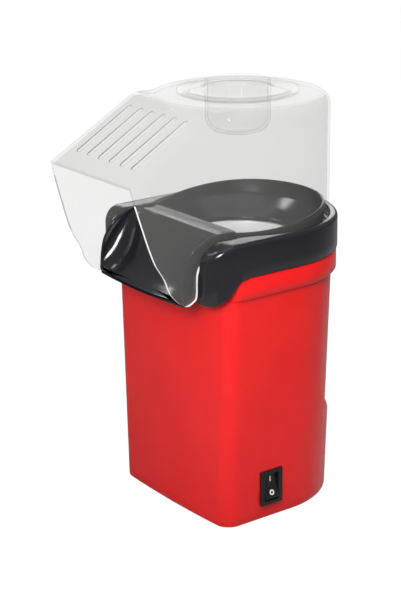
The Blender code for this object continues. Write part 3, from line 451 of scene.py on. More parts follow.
def round_bar(name, radius, start, end, steps=48):
    """A cylinder from one point to another."""
    bm = bmesh.new()
    a, b = Vector(start), Vector(end)
    turn = (b - a).to_track_quat("Z", "Y").to_matrix().to_4x4()
    bmesh.ops.create_cone(bm, cap_ends=True, segments=steps, radius1=radius, radius2=radius,
                          depth=(b - a).length, matrix=Matrix.Translation((a + b) / 2) @ turn)
    return as_object(name, bm)


def finish_piece(piece, body, material, slot, *nodes):
    """Give the piece its look and its body, and hide the CAD nodes it stands for."""
    if not piece.data.materials:
        piece.data.materials.append(material)
    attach(piece, body)
    if nodes:
        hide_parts(*nodes)
    return piece


# ---------------------------------------------------------------- shared outlines

def chute_half(z):
    """Half width of the chute's outside at a height."""
    return CHUTE_HALF + (HOOD_TOP - z) * CHUTE_DRAFT


def shell_half(z):
    """Half width of the red shell at a height; it stays the same above the seam."""
    rise = (z - SHELL_BOTTOM) / (SEAM_Z - SHELL_BOTTOM)
    return HALF_LOW + (HALF_HIGH - HALF_LOW) * min(1.0, rise)


# Side views in (y, z): the collar's lower step, its shoulder, and the back edge of the hood's tabs
STEP_POINTS = [(-0.0440, 0.1910), (-0.0520, 0.1895), (-0.0572, 0.1859), (-0.0624, 0.1800),
               (-0.0675, 0.1766), (-0.0720, 0.1742), (-0.0760, 0.1732)]
SHOULDER_POINTS = [(-0.0500, 0.2082), (-0.0582, 0.2080), (-0.0669, 0.2047), (-0.0729, 0.1990),
                   (-0.0756, 0.1931)]
TAB_BACK = [(-0.0582, 0.2087), (-0.0669, 0.2054), (-0.0732, 0.1995), (-0.0761, 0.1931),
            (-0.0773, 0.1792), (-0.0804, 0.1756), (-0.0856, 0.1738), (-0.0903, 0.1758),
            (-0.0952, 0.1801), (-0.0996, 0.1860), (-0.1037, 0.1964), (-0.1100, 0.2070),
            (-0.1142, 0.2180), (-0.1178, 0.2293), (-0.1213, 0.2410), (-0.1246, 0.2520)]


# ---------------------------------------------------------------- red shell

def recess_depth(angle, z):
    """How far the grip recess goes in, at an angle from the back's middle and a height."""
    across = abs(angle) / RECESS_HALF_ANGLE
    if across >= 1.0 or z > SEAM_Z - 0.0001:
        return 0.0
    drop = (1 - across ** RECESS_POWER) ** (1 / RECESS_POWER)
    low = RECESS_SIDE_Z - (RECESS_SIDE_Z - RECESS_LOW_Z) * drop
    from_side = math.radians(RECESS_HALF_ANGLE - abs(angle)) * shell_half(z)
    return RECESS_DEPTH * ease(from_side / 0.0012) * ease((z - low) / 0.0014)


def make_shell(looks):
    """Tapered shell with the grip recess, and the raised band around its top."""
    levels = [(SHELL_BOTTOM, 0.0018), (SHELL_BOTTOM + 0.0004, 0.0009), (SHELL_BOTTOM + 0.0010, 0.0003),
              (SHELL_BOTTOM + 0.0018, 0.0)]
    levels += [(z, 0.0) for z in np.arange(0.0100, 0.0450, 0.0070)]
    levels += [(z, 0.0) for z in np.arange(0.0450, 0.1010, 0.0009)]
    levels += [(z, 0.0) for z in np.arange(0.1040, 0.1730, 0.0060)]
    levels += [(SEAM_Z - 0.0002, 0.0), (SEAM_Z + 0.0002, 0.0), (BAND_TOP, 0.0)]
    levels += [(BAND_TOP + 0.0004, 0.0008), (SHELL_TOP, 0.0008)]
    rings = []
    for z, inset in levels:
        ring = []
        for x, y, _ in d_plan(shell_half(z) - inset, SHELL_FRONT - inset, SHELL_CORNER, z, back=200):
            if y > 0.0:
                radius = math.hypot(x, y)
                depth = recess_depth(math.degrees(math.atan2(x, y)), z)
                x, y = x * (radius - depth) / radius, y * (radius - depth) / radius
            ring.append((x, y, z))
        rings.append(ring)
    for z, inset in ((SHELL_TOP, 0.0036), (SEAM_Z, 0.0036), (SHELL_BOTTOM, SHELL_WALL)):
        rings.append(d_plan(shell_half(z) - inset, SHELL_FRONT - inset, SHELL_CORNER - SHELL_WALL, z,
                            back=200))
    shell = grid_mesh("shell", rings, around=True, along=True)
    half_y, half_z = SWITCH_WIDE / 2 - 0.0012, SWITCH_TALL / 2 - 0.0012
    cut_from, cut_to = 0.055, 0.075
    boolean(shell, box("window", (cut_from, SWITCH_Y - half_y, SWITCH_Z - half_z),
                       (cut_to, SWITCH_Y + half_y, SWITCH_Z + half_z)))
    boolean(shell, round_bar("gland_hole", GLAND_HOLE, (0.0, cut_from, GLAND_Z),
                             (0.0, cut_to, GLAND_Z)))
    finish_piece(shell, "base", looks["shell"], "shell", "body_shell")

    proud = HALF_HIGH + BAND_PROUD
    inside = SPIGOT_HALF - 0.0012
    sections = [(inside, SEAM_Z + 0.0002), (proud - 0.0008, SEAM_Z), (proud - 0.0003, SEAM_Z + 0.0001),
                (proud, SEAM_Z + 0.0005), (proud, 0.1800), (proud, BAND_TOP - 0.0007),
                (proud - 0.0002, BAND_TOP - 0.0002), (proud - 0.0006, BAND_TOP), (inside, BAND_TOP)]
    rings = []
    for half, z in sections:
        front = SHELL_FRONT + 0.00005 - max(0.0, proud - half)
        rings.append(d_plan(half, front, SHELL_CORNER, z, back=160))
    band = grid_mesh("shell_band", rings, around=True, along=True)
    step = [(y, z - 0.0006) for y, z in smooth_profile(STEP_POINTS)]
    outline = [(-0.100, 0.160)] + step[::-1] + [(-0.0440, 0.200), (-0.100, 0.200)]
    boolean(band, prism("band_trim", outline, lambda z: 0.09))
    finish_piece(band, "base", looks["shell"], "shell", "body_shell")


# ---------------------------------------------------------------- black collar

def collar_path():
    """Points and outward normals of the collar's plan, from one front corner round the back."""
    corner_x = COLLAR_HALF - COLLAR_CORNER
    bow_y = FRONT_BOW - COLLAR_FRONT
    corner_y = bow_y - math.sqrt((FRONT_BOW - COLLAR_CORNER) ** 2 - corner_x ** 2)
    path = []
    first = -math.degrees(math.acos((SLOT_HALF + 0.0002 - corner_x) / COLLAR_CORNER))
    for a in np.radians(np.linspace(first, 0.0, 30)):
        normal = np.array([math.cos(a), math.sin(a)])
        path.append((np.array([corner_x, corner_y]) + COLLAR_CORNER * normal, normal))
    for t in np.linspace(0.0, 1.0, 26)[1:-1]:
        path.append((np.array([COLLAR_HALF, corner_y * (1 - t)]), np.array([1.0, 0.0])))
    for a in np.radians(np.linspace(0.0, 90.0, 49)):
        normal = np.array([math.cos(a), math.sin(a)])
        path.append((COLLAR_HALF * normal, normal))
    flip = np.array([-1.0, 1.0])
    return path + [(point * flip, normal * flip) for point, normal in path[-2::-1]]


def collar_top(y):
    """Height of the collar's top: level, then a quarter ellipse down over the front corners."""
    if y > -0.0570:
        return COLLAR_TOP
    return 0.1949 + 0.0208 * math.sqrt(max(0.0, 1 - ((y + 0.0570) / 0.0215) ** 2))


def make_collar_ring(looks):
    """Skirt, rounded top and inner step of the collar, with its two front lobes."""
    low_at = curve_value(STEP_POINTS)
    ledge_at = curve_value(SHOULDER_POINTS)
    rows = []
    for point, normal in collar_path():
        low = COLLAR_SKIRT if point[1] > STEP_POINTS[0][0] else low_at(point[1])
        row = [(*(point - normal * COLLAR_WALL), low + 0.0004), (*(point - normal * 0.0010), low),
               (*(point - normal * 0.0004), low), (*point, low + 0.0005)]
        edge = []
        for a in np.radians(np.linspace(0.0, 90.0, 9)):
            inset = COLLAR_EDGE * (1 - math.cos(a))
            spot = point - normal * inset
            edge.append((*spot, collar_top(spot[1]) - COLLAR_EDGE * (1 - math.sin(a))))
        start = edge[0][2]
        row += [(*point, low + 0.0005 + (start - low - 0.0005) * t) for t in (0.33, 0.66)]
        row += edge
        last = np.array(edge[-1])
        side = math.copysign(1.0, point[0]) if abs(point[0]) > 1e-9 else 1.0
        if last[1] > 0.0:
            radius = math.hypot(last[0], last[1])
            inward = -last[:2] / radius
            inner = last[:2] / radius * LEDGE_RADIUS
        else:
            inward = np.array([-side, 0.0])
            reach = math.sqrt(max(0.0, LEDGE_RADIUS ** 2 - last[1] ** 2))
            inner = np.array([side * max(SLOT_HALF, reach), last[1]])
        width = float(np.linalg.norm(inner - last[:2]))
        top = collar_top(last[1])
        for share in (0.35, 0.7):
            row.append((*(last[:2] + inward * (width - 0.0007) * share), top))
        for back, drop in ((0.0007, 0.0), (0.0002, 0.0002), (0.0, 0.0007)):
            row.append((*(inner - inward * min(back, width)), top - drop))
        ledge = LEDGE_Z if last[1] > -0.0500 else ledge_at(last[1])
        if last[1] < -0.0757:
            ledge = low
        ledge = min(ledge, top - 0.0012)
        row.append((*inner, ledge - 0.0002))
        row.append((*(inner + inward * 0.0002), max(low, ledge - 0.0030)))
        row.append((*(point - normal * COLLAR_WALL), max(low + 0.0008, ledge - 0.0034)))
        rows.append(row)
    ring = grid_mesh("collar_ring", rows, around=True, ends=True)
    finish_piece(ring, "base", looks["collar"], "collar", "top_collar")


def make_collar_deck(looks):
    """The hood's seat: a level ring, and a shoulder that rolls down at each side of the spout."""
    deck = turned("collar_seat", [(0.0590, 0.2046), (0.0668, 0.2046), (0.0668, LEDGE_Z),
                                  (0.0590, LEDGE_Z)], 160, closed=True)
    boolean(deck, box("seat_trim", (-0.0900, -0.0900, 0.1900), (0.0900, -0.0380, 0.2300)))
    finish_piece(deck, "base", looks["collar"], "collar", "top_collar")
    top = [(-0.0370, LEDGE_Z)] + [tuple(p) for p in smooth_profile(SHOULDER_POINTS)]
    under = [(-0.0756, 0.1736), (-0.0752, 0.1733), (-0.0728, 0.1733), (-0.0716, 0.1900),
             (-0.0600, 0.2040), (-0.0370, 0.2046)]
    for side, name in ((-1, "left"), (1, "right")):
        rows = []
        for inner in (True, False):
            row = []
            for y, z in top + under:
                x = chute_half(z) - HOOD_WALL - 0.0016 if inner else SLOT_HALF + 0.0002
                row.append((side * x, y, z))
            rows.append(row)
        shoulder = grid_mesh(f"collar_shoulder_{name}", rows, around=True, ends=True)
        finish_piece(shoulder, "base", looks["collar"], "collar", "top_collar")


def rim_height(y):
    """Height of the funnel's rim, which rises towards the back."""
    return RIM_FRONT_Z + (RIM_BACK_Z - RIM_FRONT_Z) * ease((y + 0.040) / 0.100)


def make_funnel(looks):
    """Funnel with a raised rim, a straight ridge towards the spout and the hole over the chamber."""
    profile = [(0.0622, 0.2050, 0.0556, False), (0.0624, -0.0024, 0.0556, True),
               (0.0624, -0.0008, 0.0554, True), (0.0621, -0.0002, 0.0551, True),
               (0.0615, 0.0, 0.0546, True), (0.0608, -0.0002, 0.0541, True),
               (0.0603, -0.0007, 0.0536, True), (0.0596, 0.2143, 0.0530, False),
               (0.0575, 0.2118, 0.0514, False), (0.0530, 0.2066, 0.0490, False),
               (0.0485, 0.2022, 0.0468, False), (0.0450, 0.2000, 0.0448, False),
               (0.0436, 0.1993, 0.0436, False), (0.0430, 0.1989, 0.0430, False),
               (0.0428, 0.1983, 0.0428, False), (0.0428, 0.1966, 0.0428, False),
               (0.0452, 0.1964, 0.0452, False), (0.0500, 0.1990, 0.0486, False),
               (0.0598, 0.2108, 0.0532, False), (0.0604, 0.2050, 0.0536, False)]
    soft = 0.0035
    rings = []
    for radius, z, front, on_rim in profile:
        ring = []
        for x, y, _ in circle(radius, 0.0, 144):
            gap = y + front
            y = -front + 0.5 * (gap + math.hypot(gap, soft)) - 0.5 * soft * ease(-y / radius)
            height = rim_height(y) + z if on_rim else z
            ring.append((x, y, height))
        rings.append(ring)
    funnel = grid_mesh("funnel", rings, around=True, along=True)
    finish_piece(funnel, "base", looks["collar"], "collar", "top_collar")


def make_spout(looks):
    """Slide and side walls of the spout in one smooth scoop."""
    floor = smooth_profile([(-0.0430, 0.2163), (-0.0500, 0.2168), (-0.0540, 0.2166), (-0.0580, 0.2138),
                            (-0.0630, 0.2068), (-0.0685, 0.1972), (-0.0735, 0.1888),
                            (-0.0795, 0.1815), (-0.0840, 0.1775), (-0.0873, 0.1750)], 5)
    wall = smooth_profile([(-0.0400, 0.2178), (-0.0480, 0.2181), (-0.0540, 0.2182), (-0.0600, 0.2180),
                           (-0.0660, 0.2160), (-0.0755, 0.2110), (-0.0810, 0.2055),
                           (-0.0850, 0.1980), (-0.0869, 0.1880), (-0.0873, 0.1776)], 5)
    outer_inset, inner_inset, lip = 0.0006, 0.0028, 0.0018
    rows = []
    for (fy, fz), (wy, wz) in zip(floor, wall):
        forward = ease((-fy - 0.0500) / 0.0373)
        under_y, under_z = fy + 0.0012, fz - 0.0026
        scoop = 0.0040 + 0.0110 * ease((-fy - 0.0520) / 0.0200)
        right = []
        for t in np.linspace(0.0, 1.0, 10):
            half = chute_half(fz) - HOOD_WALL - inner_inset - scoop
            right.append((half * t, fy - SPOUT_BOW * forward * (1 - t * t * 0.85), fz))
        corner = chute_half(fz) - HOOD_WALL - inner_inset
        span = max(1e-4, math.hypot(wy - fy, wz - fz))
        fillet = min(scoop, span * 0.62)
        for a in np.radians(np.linspace(11.25, 90.0, 8)):
            rise = fillet * (1 - math.cos(a)) / span
            out = corner - scoop * (1 - math.sin(a))
            y = fy + (wy - fy) * rise - SPOUT_BOW * forward * 0.15 * (1 - math.sin(a))
            right.append((out, y, fz + (wz - fz) * rise))
        for share in (0.72, 0.82, 0.92):
            y, z = fy + (wy - fy) * share, fz + (wz - fz) * share
            right.append((chute_half(z) - HOOD_WALL - inner_inset, y, z))
        edge = chute_half(wz) - HOOD_WALL
        back = np.array([fy - wy, fz - wz]) / span * min(0.0009, span * 0.2)
        right.append((edge - inner_inset, wy + back[0], wz + back[1]))
        right.append((edge - inner_inset + 0.0003, wy + back[0] * 0.25, wz + back[1] * 0.25))
        right.append((edge - (inner_inset + outer_inset) / 2, wy, wz))
        right.append((edge - outer_inset - 0.0003, wy + back[0] * 0.25, wz + back[1] * 0.25))
        right.append((edge - outer_inset, wy + back[0], wz + back[1]))
        outer = chute_half(under_z) - HOOD_WALL - outer_inset
        right.append((outer, (wy + under_y) / 2, (wz + under_z) / 2))
        right.append((outer, under_y, under_z + 0.0008))
        right.append((outer - lip, under_y - SPOUT_BOW * forward * 0.15, under_z))
        for t in (0.66, 0.33, 0.0):
            y = under_y - SPOUT_BOW * forward * (1 - t * t * 0.85)
            right.append(((outer - lip) * t, y, under_z))
        left = [(-x, y, z) for x, y, z in right[-2:0:-1]]
        rows.append(right + left)
    spout = grid_mesh("spout", rows, around=True, ends=True)
    rounded(spout, 0.0006, 3, 50.0)
    finish_piece(spout, "base", looks["collar"], "collar", "top_collar")


# ---------------------------------------------------------------- clear hood and cup

def hood_round(name, radius, low, top, edge):
    """A drum with a rounded upper edge."""
    profile = [(radius, low)]
    profile += [(radius - edge + x, top - edge + z) for x, z in arc((0.0, 0.0), edge, 0.0, 90.0, 9)]
    return turned(name, profile, 144)


def make_hood(looks):
    """Clear keyhole-shaped hood; its cut edges and slots have looks of their own: a painted white
    highlight, painted dark lines and painted paler slot walls.
    """
    low = LEDGE_Z + 0.0003
    hood = hood_round("hood_shell", HOOD_RADIUS, low, HOOD_TOP, HOOD_EDGE)
    tab = [tuple(p) for p in smooth_profile(TAB_BACK, 5)]
    outer = [(-0.0300, HOOD_TOP - 0.0004), (-0.0300, low)] + tab
    fold = [(HOOD_FOLD_Y - 0.0040, HOOD_TOP - 0.0027), (HOOD_FOLD_Y - 0.0018, HOOD_TOP - 0.0012),
            (HOOD_FOLD_Y + 0.0020, HOOD_TOP - 0.0004)]
    outer += [HOOD_LIP] + fold
    chute = prism("chute_outer", outer, chute_half)
    round_long_edges(chute, 0.0012)
    boolean(hood, chute, "UNION")
    wall = HOOD_WALL
    boolean(hood, hood_round("round_inner", HOOD_RADIUS - wall, 0.1600, HOOD_TOP - wall,
                             HOOD_EDGE - wall))
    inner_y, inner_z, far_y = HOOD_FOLD_Y + 0.0006, HOOD_TOP - wall - 0.0004, -0.150
    inner = [(-0.0200, inner_z), (-0.0200, 0.1500), (far_y, 0.1500),
             (far_y, inner_z - (inner_y - far_y) * SLOPE), (inner_y, inner_z)]
    boolean(hood, prism("chute_inner", inner, lambda z: chute_half(z) - wall))
    boolean(hood, turned("cup_hole", [(HOOD_HOLE, 0.2900), (HOOD_HOLE, 0.3100)], 128))
    for i in range(VENT_COUNT):
        boolean(hood, vent_slot((i - (VENT_COUNT - 1) / 2) * VENT_PITCH))
    hood.data.materials.clear()
    for name in HOOD_LOOKS:
        hood.data.materials.append(looks[name])
    for face in hood.data.polygons:
        face.material_index = HOOD_LOOKS.index(face_look(face))
    finish_piece(hood, "hood", looks["clear"], "clear", "hood")


def round_long_edges(piece, width):
    """Round the edges between the chute's sides and its slanted face."""
    bm = bmesh.new()
    bm.from_mesh(piece.data)
    chosen = []
    for edge in bm.edges:
        a, b = edge.verts
        flat = all(abs(abs(end.co.x) - chute_half(end.co.z)) < 1e-5 for end in (a, b))
        same_side = a.co.x * b.co.x > 0
        sloping = min(a.co.z, b.co.z) > HOOD_LIP[1] - 0.003 and min(a.co.y, b.co.y) < HOOD_FOLD_Y + 0.003
        if flat and same_side and sloping and max(a.co.y, b.co.y) < -0.0310:
            chosen.append(edge)
    bmesh.ops.bevel(bm, geom=chosen, offset=width, segments=3, affect="EDGES", profile=0.5)
    bm.to_mesh(piece.data)
    bm.free()


def face_look(face):
    """Which look a face of the hood has: clear wall, or a cut edge, lip, slot's side or chamfer painted
    with a highlight, a dark line or a paler grey.
    """
    centre, normal = face.center, face.normal
    side = abs(centre.x)
    half = chute_half(centre.z)
    in_wall = half - HOOD_WALL - 0.0002 < side < half + 0.0002
    lip_y, lip_z = HOOD_LIP
    cut_across = abs(normal.x) < 0.5
    # Tab cut edges: painted white highlight low down, painted dark line higher up
    if in_wall and cut_across and centre.y < TAB_START_Y and centre.z < lip_z + 0.001:
        painted_highlight_below = RIGHT_TAB_PAINTED_HIGHLIGHT_BELOW if centre.x > 0 else LEFT_TAB_PAINTED_HIGHLIGHT_BELOW
        return "edge" if centre.z < painted_highlight_below else "rim"
    # The lip's front cut face is painted as a dark line
    if cut_across and centre.y < lip_y + 0.0037 and normal.y < -0.5:
        return "lip"
    # Downward faces at the hood's foot get the painted white highlight
    if normal.z < -0.9 and centre.z < LEDGE_Z + 0.002:
        return "edge"
    on_slope = centre.z > lip_z - 0.003 and centre.y < HOOD_FOLD_Y - 0.004
    inside_walls = side < half - HOOD_WALL
    outward = normal.dot(SLOPE_OUT)
    # Slot walls are painted paler grey, their outer chamfers as dark lines
    if on_slope and inside_walls and abs(outward) < 0.9:
        return "line" if outward > 0.4 else "slot"
    return "clear"


def vent_slot(x):
    """Tool for one slot of the slope, with a chamfer around its outer edge."""
    top_y, low_y = VENT_ENDS_Y
    along = Vector((0.0, -1.0, -SLOPE)).normalized()
    normal = Vector((0.0, along.z, -along.y))
    start = Vector((x, top_y, HOOD_TOP - (HOOD_FOLD_Y - top_y) * SLOPE))
    length = (top_y - low_y) / -along.y
    half = VENT_WIDTH / 2
    layers = []
    for depth, grow in ((-0.004, 0.0), (-0.0005, 0.0), (0.0010, 0.0015)):
        flat = arc((half, 0.0), half + grow, 90.0, 270.0, 10)
        flat += arc((length - half, 0.0), half + grow, -90.0, 90.0, 10)
        layers.append([start + along * u + Vector((v, 0.0, 0.0)) + normal * depth for u, v in flat])
    return grid_mesh("vent", layers, around=True, ends=True)


def make_cup(looks):
    """Round-bottomed measuring cup with a wide flange that lies on the hood."""
    low, flange, wall = CUP_BOTTOM, HOOD_TOP + 0.0003, CUP_WALL
    outside = [(0.0, low), (0.0100, low + 0.0001), (0.0140, low + 0.0006), (0.0180, low + 0.0019),
               (0.0208, low + 0.0042), (0.0227, low + 0.0075), (CUP_RADIUS, low + 0.0110)]
    brim = [(CUP_RADIUS, flange - 0.0008), (CUP_RADIUS + 0.0006, flange), (CUP_FLANGE - 0.0007, flange),
            (CUP_FLANGE - 0.0002, flange + 0.0002), (CUP_FLANGE, flange + 0.0008),
            (CUP_FLANGE, flange + 0.0015), (CUP_FLANGE - 0.0003, flange + 0.0021),
            (CUP_FLANGE - 0.0010, flange + 0.0023), (CUP_FLANGE - 0.0040, flange + 0.0023),
            (CUP_FLANGE - 0.0050, flange + 0.0020), (CUP_RADIUS + 0.0022, flange + 0.0020),
            (CUP_RADIUS + 0.0008, flange + 0.0024), (CUP_RADIUS + 0.0002, flange + 0.0034),
            (CUP_RADIUS, CUP_TOP - 0.0010), (CUP_RADIUS - 0.0003, CUP_TOP - 0.0003),
            (CUP_RADIUS - 0.0009, CUP_TOP)]
    inside = [(CUP_RADIUS - wall + 0.0003, CUP_TOP - 0.0003), (CUP_RADIUS - wall, CUP_TOP - 0.0010),
              (CUP_RADIUS - wall, low + 0.0112), (0.0211, low + 0.0085), (0.0195, low + 0.0056),
              (0.0168, low + 0.0034), (0.0134, low + 0.0022), (0.0100, low + 0.0018),
              (0.0, low + 0.0018)]
    cup = turned("cup_bowl", outside + brim + inside, 128)
    finish_piece(cup, "cup", looks["cup"], "clear", "measuring_cup")


# ---------------------------------------------------------------- switch, bushing and feet

def make_switch(looks):
    """Frame with its lugs, the hollowed rocker, and the I and O marks on it."""
    outer = shell_half(SWITCH_Z)
    low_y, high_y = SWITCH_Y - SWITCH_WIDE / 2, SWITCH_Y + SWITCH_WIDE / 2
    low_z, high_z = SWITCH_Z - SWITCH_TALL / 2, SWITCH_Z + SWITCH_TALL / 2
    housing = box("switch_frame", (outer + 0.0001, low_y, low_z), (outer + 0.0016, high_y, high_z))
    body = box("switch_body", (outer - 0.0190, low_y + 0.0016, low_z + 0.0016),
               (outer + 0.0010, high_y - 0.0016, high_z - 0.0016))
    boolean(housing, body, "UNION")
    reach_y, reach_z = ROCKER_WIDE / 2 + 0.0003, ROCKER_TALL / 2 + 0.0005
    well = box("switch_well", (outer - 0.0110, SWITCH_Y - reach_y, SWITCH_Z - reach_z),
               (outer + 0.0050, SWITCH_Y + reach_y, SWITCH_Z + reach_z))
    boolean(housing, well)
    rounded(housing, 0.00045, 3)
    for i in range(3):
        z = SWITCH_Z + (i - 1) * 0.0065
        lug = box("lug", (outer - 0.0260, SWITCH_Y - 0.0024, z - 0.0004),
                  (outer - 0.0185, SWITCH_Y + 0.0024, z + 0.0004))
        boolean(housing, lug, "UNION")
    finish_piece(housing, "base", looks["switch"], "switch", "switch_housing")

    pivot = outer - 0.0030
    half = ROCKER_TALL / 2
    face = arc((ROCKER_HOLLOW_X, 0.0), ROCKER_HOLLOW, 160.5, 199.5, 14)
    outline = sorted(((x, -z) for x, z in face), key=lambda point: point[1])
    outline += [(0.0030, half), (-0.0020, half - 0.0030), (-0.0020, -half + 0.0030), (0.0030, -half)]
    tilt = Matrix.Rotation(math.radians(-ROCKER_TILT), 4, "Y")
    place = Matrix.Translation((pivot, SWITCH_Y, SWITCH_Z)) @ tilt
    rows = [[(x, y, z) for x, z in outline] for y in (-ROCKER_WIDE / 2, ROCKER_WIDE / 2)]
    rocker = grid_mesh("rocker", rows, around=True, ends=True)
    rounded(rocker, 0.0004, 3, 40.0)
    rocker.data.transform(place)
    finish_piece(rocker, "rocker", looks["switch"], "switch", "switch_rocker")

    bar = box("mark_on", (-MARK_DEPTH, -0.00045, -0.0021), (MARK_DEPTH, 0.00045, 0.0021))
    rounded(bar, 0.0002, 2)
    ring = turned("mark_off", [(0.00195, -MARK_DEPTH), (0.00195, MARK_DEPTH), (0.00110, MARK_DEPTH),
                               (0.00110, -MARK_DEPTH)], 48, closed=True)
    ring.data.transform(Matrix.Rotation(math.radians(90.0), 4, "Y"))
    for mark, z in ((bar, MARK_Z), (ring, -MARK_Z)):
        surface_x = ROCKER_HOLLOW_X - math.sqrt(ROCKER_HOLLOW ** 2 - z ** 2)
        lean = Matrix.Rotation(math.asin(z / ROCKER_HOLLOW), 4, "Y")
        mark.data.transform(place @ Matrix.Translation((surface_x, 0.0, z)) @ lean)
        finish_piece(mark, "rocker", looks["mark"], "switch")


def make_gland(looks):
    """Bushing in the back for the mains lead."""
    outer = shell_half(GLAND_Z)
    profile = [(0.0046, -0.0080), (0.0046, 0.0002), (0.0070, 0.0002), (0.0071, 0.0010),
               (0.0070, 0.0018), (0.0066, 0.0024), (0.0060, 0.0027), (0.0042, 0.0028),
               (0.0036, 0.0026), (0.0034, 0.0021), (0.0034, -0.0080)]
    gland = turned("lead_bushing", profile, 64, closed=True)
    outwards = Matrix.Rotation(math.radians(-90.0), 4, "X")
    gland.data.transform(Matrix.Translation((0.0, outer, GLAND_Z)) @ outwards)
    finish_piece(gland, "base", looks["switch"], "switch", "cord_gland")


def make_feet(looks):
    """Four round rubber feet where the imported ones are."""
    profile = [(0.0, 0.0003), (0.0038, 0.0003), (0.0042, 0.0), (0.0052, 0.0), (0.0058, 0.0003),
               (0.0060, 0.0009), (0.0060, 0.0022), (0.0, 0.0022)]
    for i in range(4):
        low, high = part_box(f"foot_{i + 1}")
        foot = turned(f"foot_pad_{i + 1}", profile, 56)
        middle = ((low[0] + high[0]) / 2, (low[1] + high[1]) / 2 - AXIS_Y, 0.0)
        foot.data.transform(Matrix.Translation(middle))
        finish_piece(foot, "base", looks["rubber"], "rubber", f"foot_{i + 1}")


# ---------------------------------------------------------------- chamber and the works

def make_chamber(looks):
    """The bright pot that shows through the funnel."""
    radius, low, top, wall = CHAMBER_RADIUS, CHAMBER_LOW, CHAMBER_TOP, CHAMBER_WALL
    outside = [(0.0, low + 0.0040), (0.0060, low + 0.0040), (0.0180, low + 0.0014), (0.0300, low),
               (radius - 0.0060, low), (radius - 0.0018, low + 0.0018), (radius, low + 0.0060),
               (radius, top - 0.0015), (0.0575, top - 0.0015), (0.0575, top)]
    inside = [(radius + 0.0008, top), (radius - wall + 0.0002, top - 0.0004),
              (radius - wall, top - 0.0012), (radius - wall, 0.1500), (radius - wall, low + 0.0064),
              (radius - 0.0024, low + 0.0026),
              (radius - 0.0064, low + wall), (0.0300, low + wall), (0.0180, low + 0.0024),
              (0.0060, low + 0.0040 + wall), (0.0, low + 0.0040 + wall)]
    pot = turned("chamber_pot", outside + inside, 120)
    lean = Matrix.Rotation(math.radians(LOUVRE_LEAN), 4, "X")
    for i in range(LOUVRE_COUNT):
        turn = Matrix.Rotation(math.radians(360.0 * (i + 0.5) / LOUVRE_COUNT), 4, "Z")
        slot = box("louvre", -LOUVRE_SIZE / 2, LOUVRE_SIZE / 2)
        slot.data.transform(turn @ Matrix.Translation((radius, 0.0, low + 0.01375)) @ lean)
        boolean(pot, slot)
    finish_piece(pot, "base", looks["chamber"], "chamber", "popping_chamber")


def dress_frame(looks):
    """Better materials on the CAD nodes that keep their own mesh."""
    slots = {row["node"]: row["material_slot"] for row in frame["record"]["subparts"]}
    for name, node in frame["nodes"].items():
        if node.hide_render:
            continue
        for slot in node.material_slots:
            slot.material = looks[slots[name]]


# ---------------------------------------------------------------- camera, light and floor

def make_camera():
    """Camera at its angle and distance from the target, rolled about its view axis."""
    azimuth, elevation, roll = (math.radians(v) for v in (AZIMUTH, ELEVATION, ROLL))
    back = Vector((math.sin(azimuth) * math.cos(elevation), -math.cos(azimuth) * math.cos(elevation),
                   math.sin(elevation)))
    right = Vector((math.cos(azimuth), math.sin(azimuth), 0.0))
    up = right.cross(-back)
    across = right * math.cos(roll) + up * math.sin(roll)
    above = up * math.cos(roll) - right * math.sin(roll)
    data = bpy.data.cameras.new("camera")
    data.lens = LENS
    data.sensor_width = 36.0
    data.sensor_fit = "AUTO"
    data.clip_start = 0.05
    data.clip_end = 20.0
    camera = bpy.data.objects.new("camera", data)
    place = Matrix((across, above, back)).transposed().to_4x4()
    place.translation = TARGET + back * DISTANCE
    camera.matrix_world = place
    bpy.context.scene.collection.objects.link(camera)
    bpy.context.scene.camera = camera


def area_light(name, location, size, power, target=(0.0, 0.0, 0.16), seen_by=("diffuse", "glossy")):
    """A rectangular light aimed at target; seen_by says which kinds of ray it lights."""
    data = bpy.data.lights.new(name, "AREA")
    data.shape = "RECTANGLE"
    data.size, data.size_y = size
    data.energy = power
    light = bpy.data.objects.new(name, data)
    light.location = location
    aim = Vector(target) - Vector(location)
    light.rotation_euler = aim.to_track_quat("-Z", "Y").to_euler()
    light.visible_diffuse = "diffuse" in seen_by
    light.visible_glossy = "glossy" in seen_by
    bpy.context.scene.collection.objects.link(light)


def pick_by_ray(tree, to_camera, to_others, output):
    """Send one shader to camera rays and another to all other rays."""
    ray = tree.nodes.new("ShaderNodeLightPath")
    pick = tree.nodes.new("ShaderNodeMixShader")
    tree.links.new(ray.outputs["Is Camera Ray"], pick.inputs["Fac"])
    tree.links.new(to_others, pick.inputs[1])
    tree.links.new(to_camera, pick.inputs[2])
    tree.links.new(pick.outputs["Shader"], output)


def make_floor():
    """Pale floor: nearly white to the camera, and duller where it throws light on the object."""
    far = 6.0
    floor = grid_mesh("floor", [[(-far, y, 0.0), (far, y, 0.0)] for y in (-far, far)])
    look = Nodes("pale_floor")
    shade = look.remap(look.noise(3.0, 2.0), 0.0, 1.0)
    pale = look.blend(shade, (0.93, 0.93, 0.93), (0.95, 0.95, 0.95))
    look.link(pale, look.shader.inputs["Base Color"])
    look.set(Roughness=0.9, Specular_IOR_Level=0.1)
    glow = look.new("ShaderNodeEmission")
    glow.inputs["Strength"].default_value = 1.05
    soft = look.new("ShaderNodeMixShader")
    soft.inputs["Fac"].default_value = 0.93
    look.link(look.shader.outputs["BSDF"], soft.inputs[1])
    look.link(glow.outputs["Emission"], soft.inputs[2])
    dull = look.new("ShaderNodeBsdfDiffuse")
    dull.inputs["Color"].default_value = (0.34, 0.34, 0.34, 1.0)
    pick_by_ray(look.tree, soft.outputs["Shader"], dull.outputs["BSDF"],
                look.tree.nodes["Material Output"].inputs["Surface"])
    floor.data.materials.append(look.material)


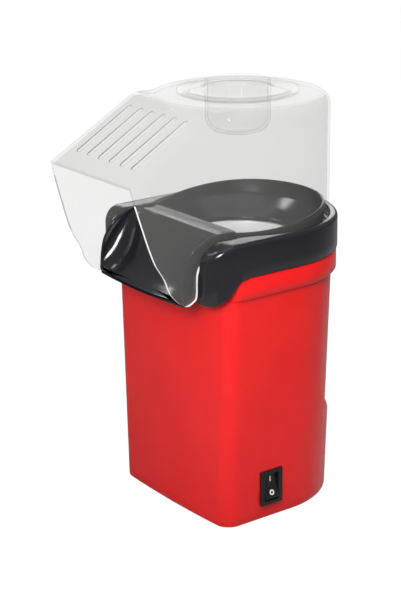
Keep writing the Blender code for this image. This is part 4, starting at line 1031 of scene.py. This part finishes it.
def make_world():
    """White surroundings for the camera, and a weak even light on the object."""
    world = bpy.data.worlds.new("studio")
    world.use_nodes = True
    tree = world.node_tree
    seen = tree.nodes["Background"]
    lit = tree.nodes.new("ShaderNodeBackground")
    for node, strength in ((seen, 1.0), (lit, 0.20)):
        node.inputs["Color"].default_value = (1.0, 1.0, 1.0, 1.0)
        node.inputs["Strength"].default_value = strength
    pick_by_ray(tree, seen.outputs["Background"], lit.outputs["Background"],
                tree.nodes["World Output"].inputs["Surface"])
    bpy.context.scene.world = world


def make_lights():
    """Soft studio lights; those for shading and those for glints are placed apart."""
    hood_middle = (0.0, 0.02, 0.20)
    area_light("key", (0.27, -0.36, 0.38), (0.16, 0.16), 2.5, target=(0.0, -0.02, 0.14))
    area_light("high", (0.30, 0.16, 0.80), (0.30, 0.30), 4.6, hood_middle, seen_by=("diffuse",))
    area_light("glint", (-0.40, -0.30, 0.74), (0.16, 0.16), 1.2, hood_middle, seen_by=("glossy",))
    area_light("back", (-1.10, 0.85, 0.66), (1.0, 0.35), 6.0, (0.0, 0.0, 0.20), seen_by=("diffuse",))
    area_light("edge", (-1.06, 0.82, 0.64), (1.0, 0.30), 2.2, (0.0, 0.0, 0.20), seen_by=("glossy",))
    area_light("over", (0.0, 0.0, 2.2), (2.2, 2.2), 12.0)


def make_stage():
    """Floor, surroundings, lights, and enough transparent steps for light to pass all clear walls."""
    make_floor()
    make_world()
    bpy.context.scene.view_settings.view_transform = "Standard"
    bpy.context.scene.cycles.transparent_max_bounces = 32
    bpy.context.scene.cycles.caustics_reflective = False
    bpy.context.scene.cycles.sample_clamp_indirect = 1.5
    make_lights()


LOOKS = make_materials()
make_camera()
make_shell(LOOKS)
make_collar_ring(LOOKS)
make_collar_deck(LOOKS)
make_funnel(LOOKS)
make_spout(LOOKS)
make_hood(LOOKS)
make_cup(LOOKS)
make_switch(LOOKS)
make_gland(LOOKS)
make_feet(LOOKS)
make_chamber(LOOKS)
dress_frame(LOOKS)
make_stage()
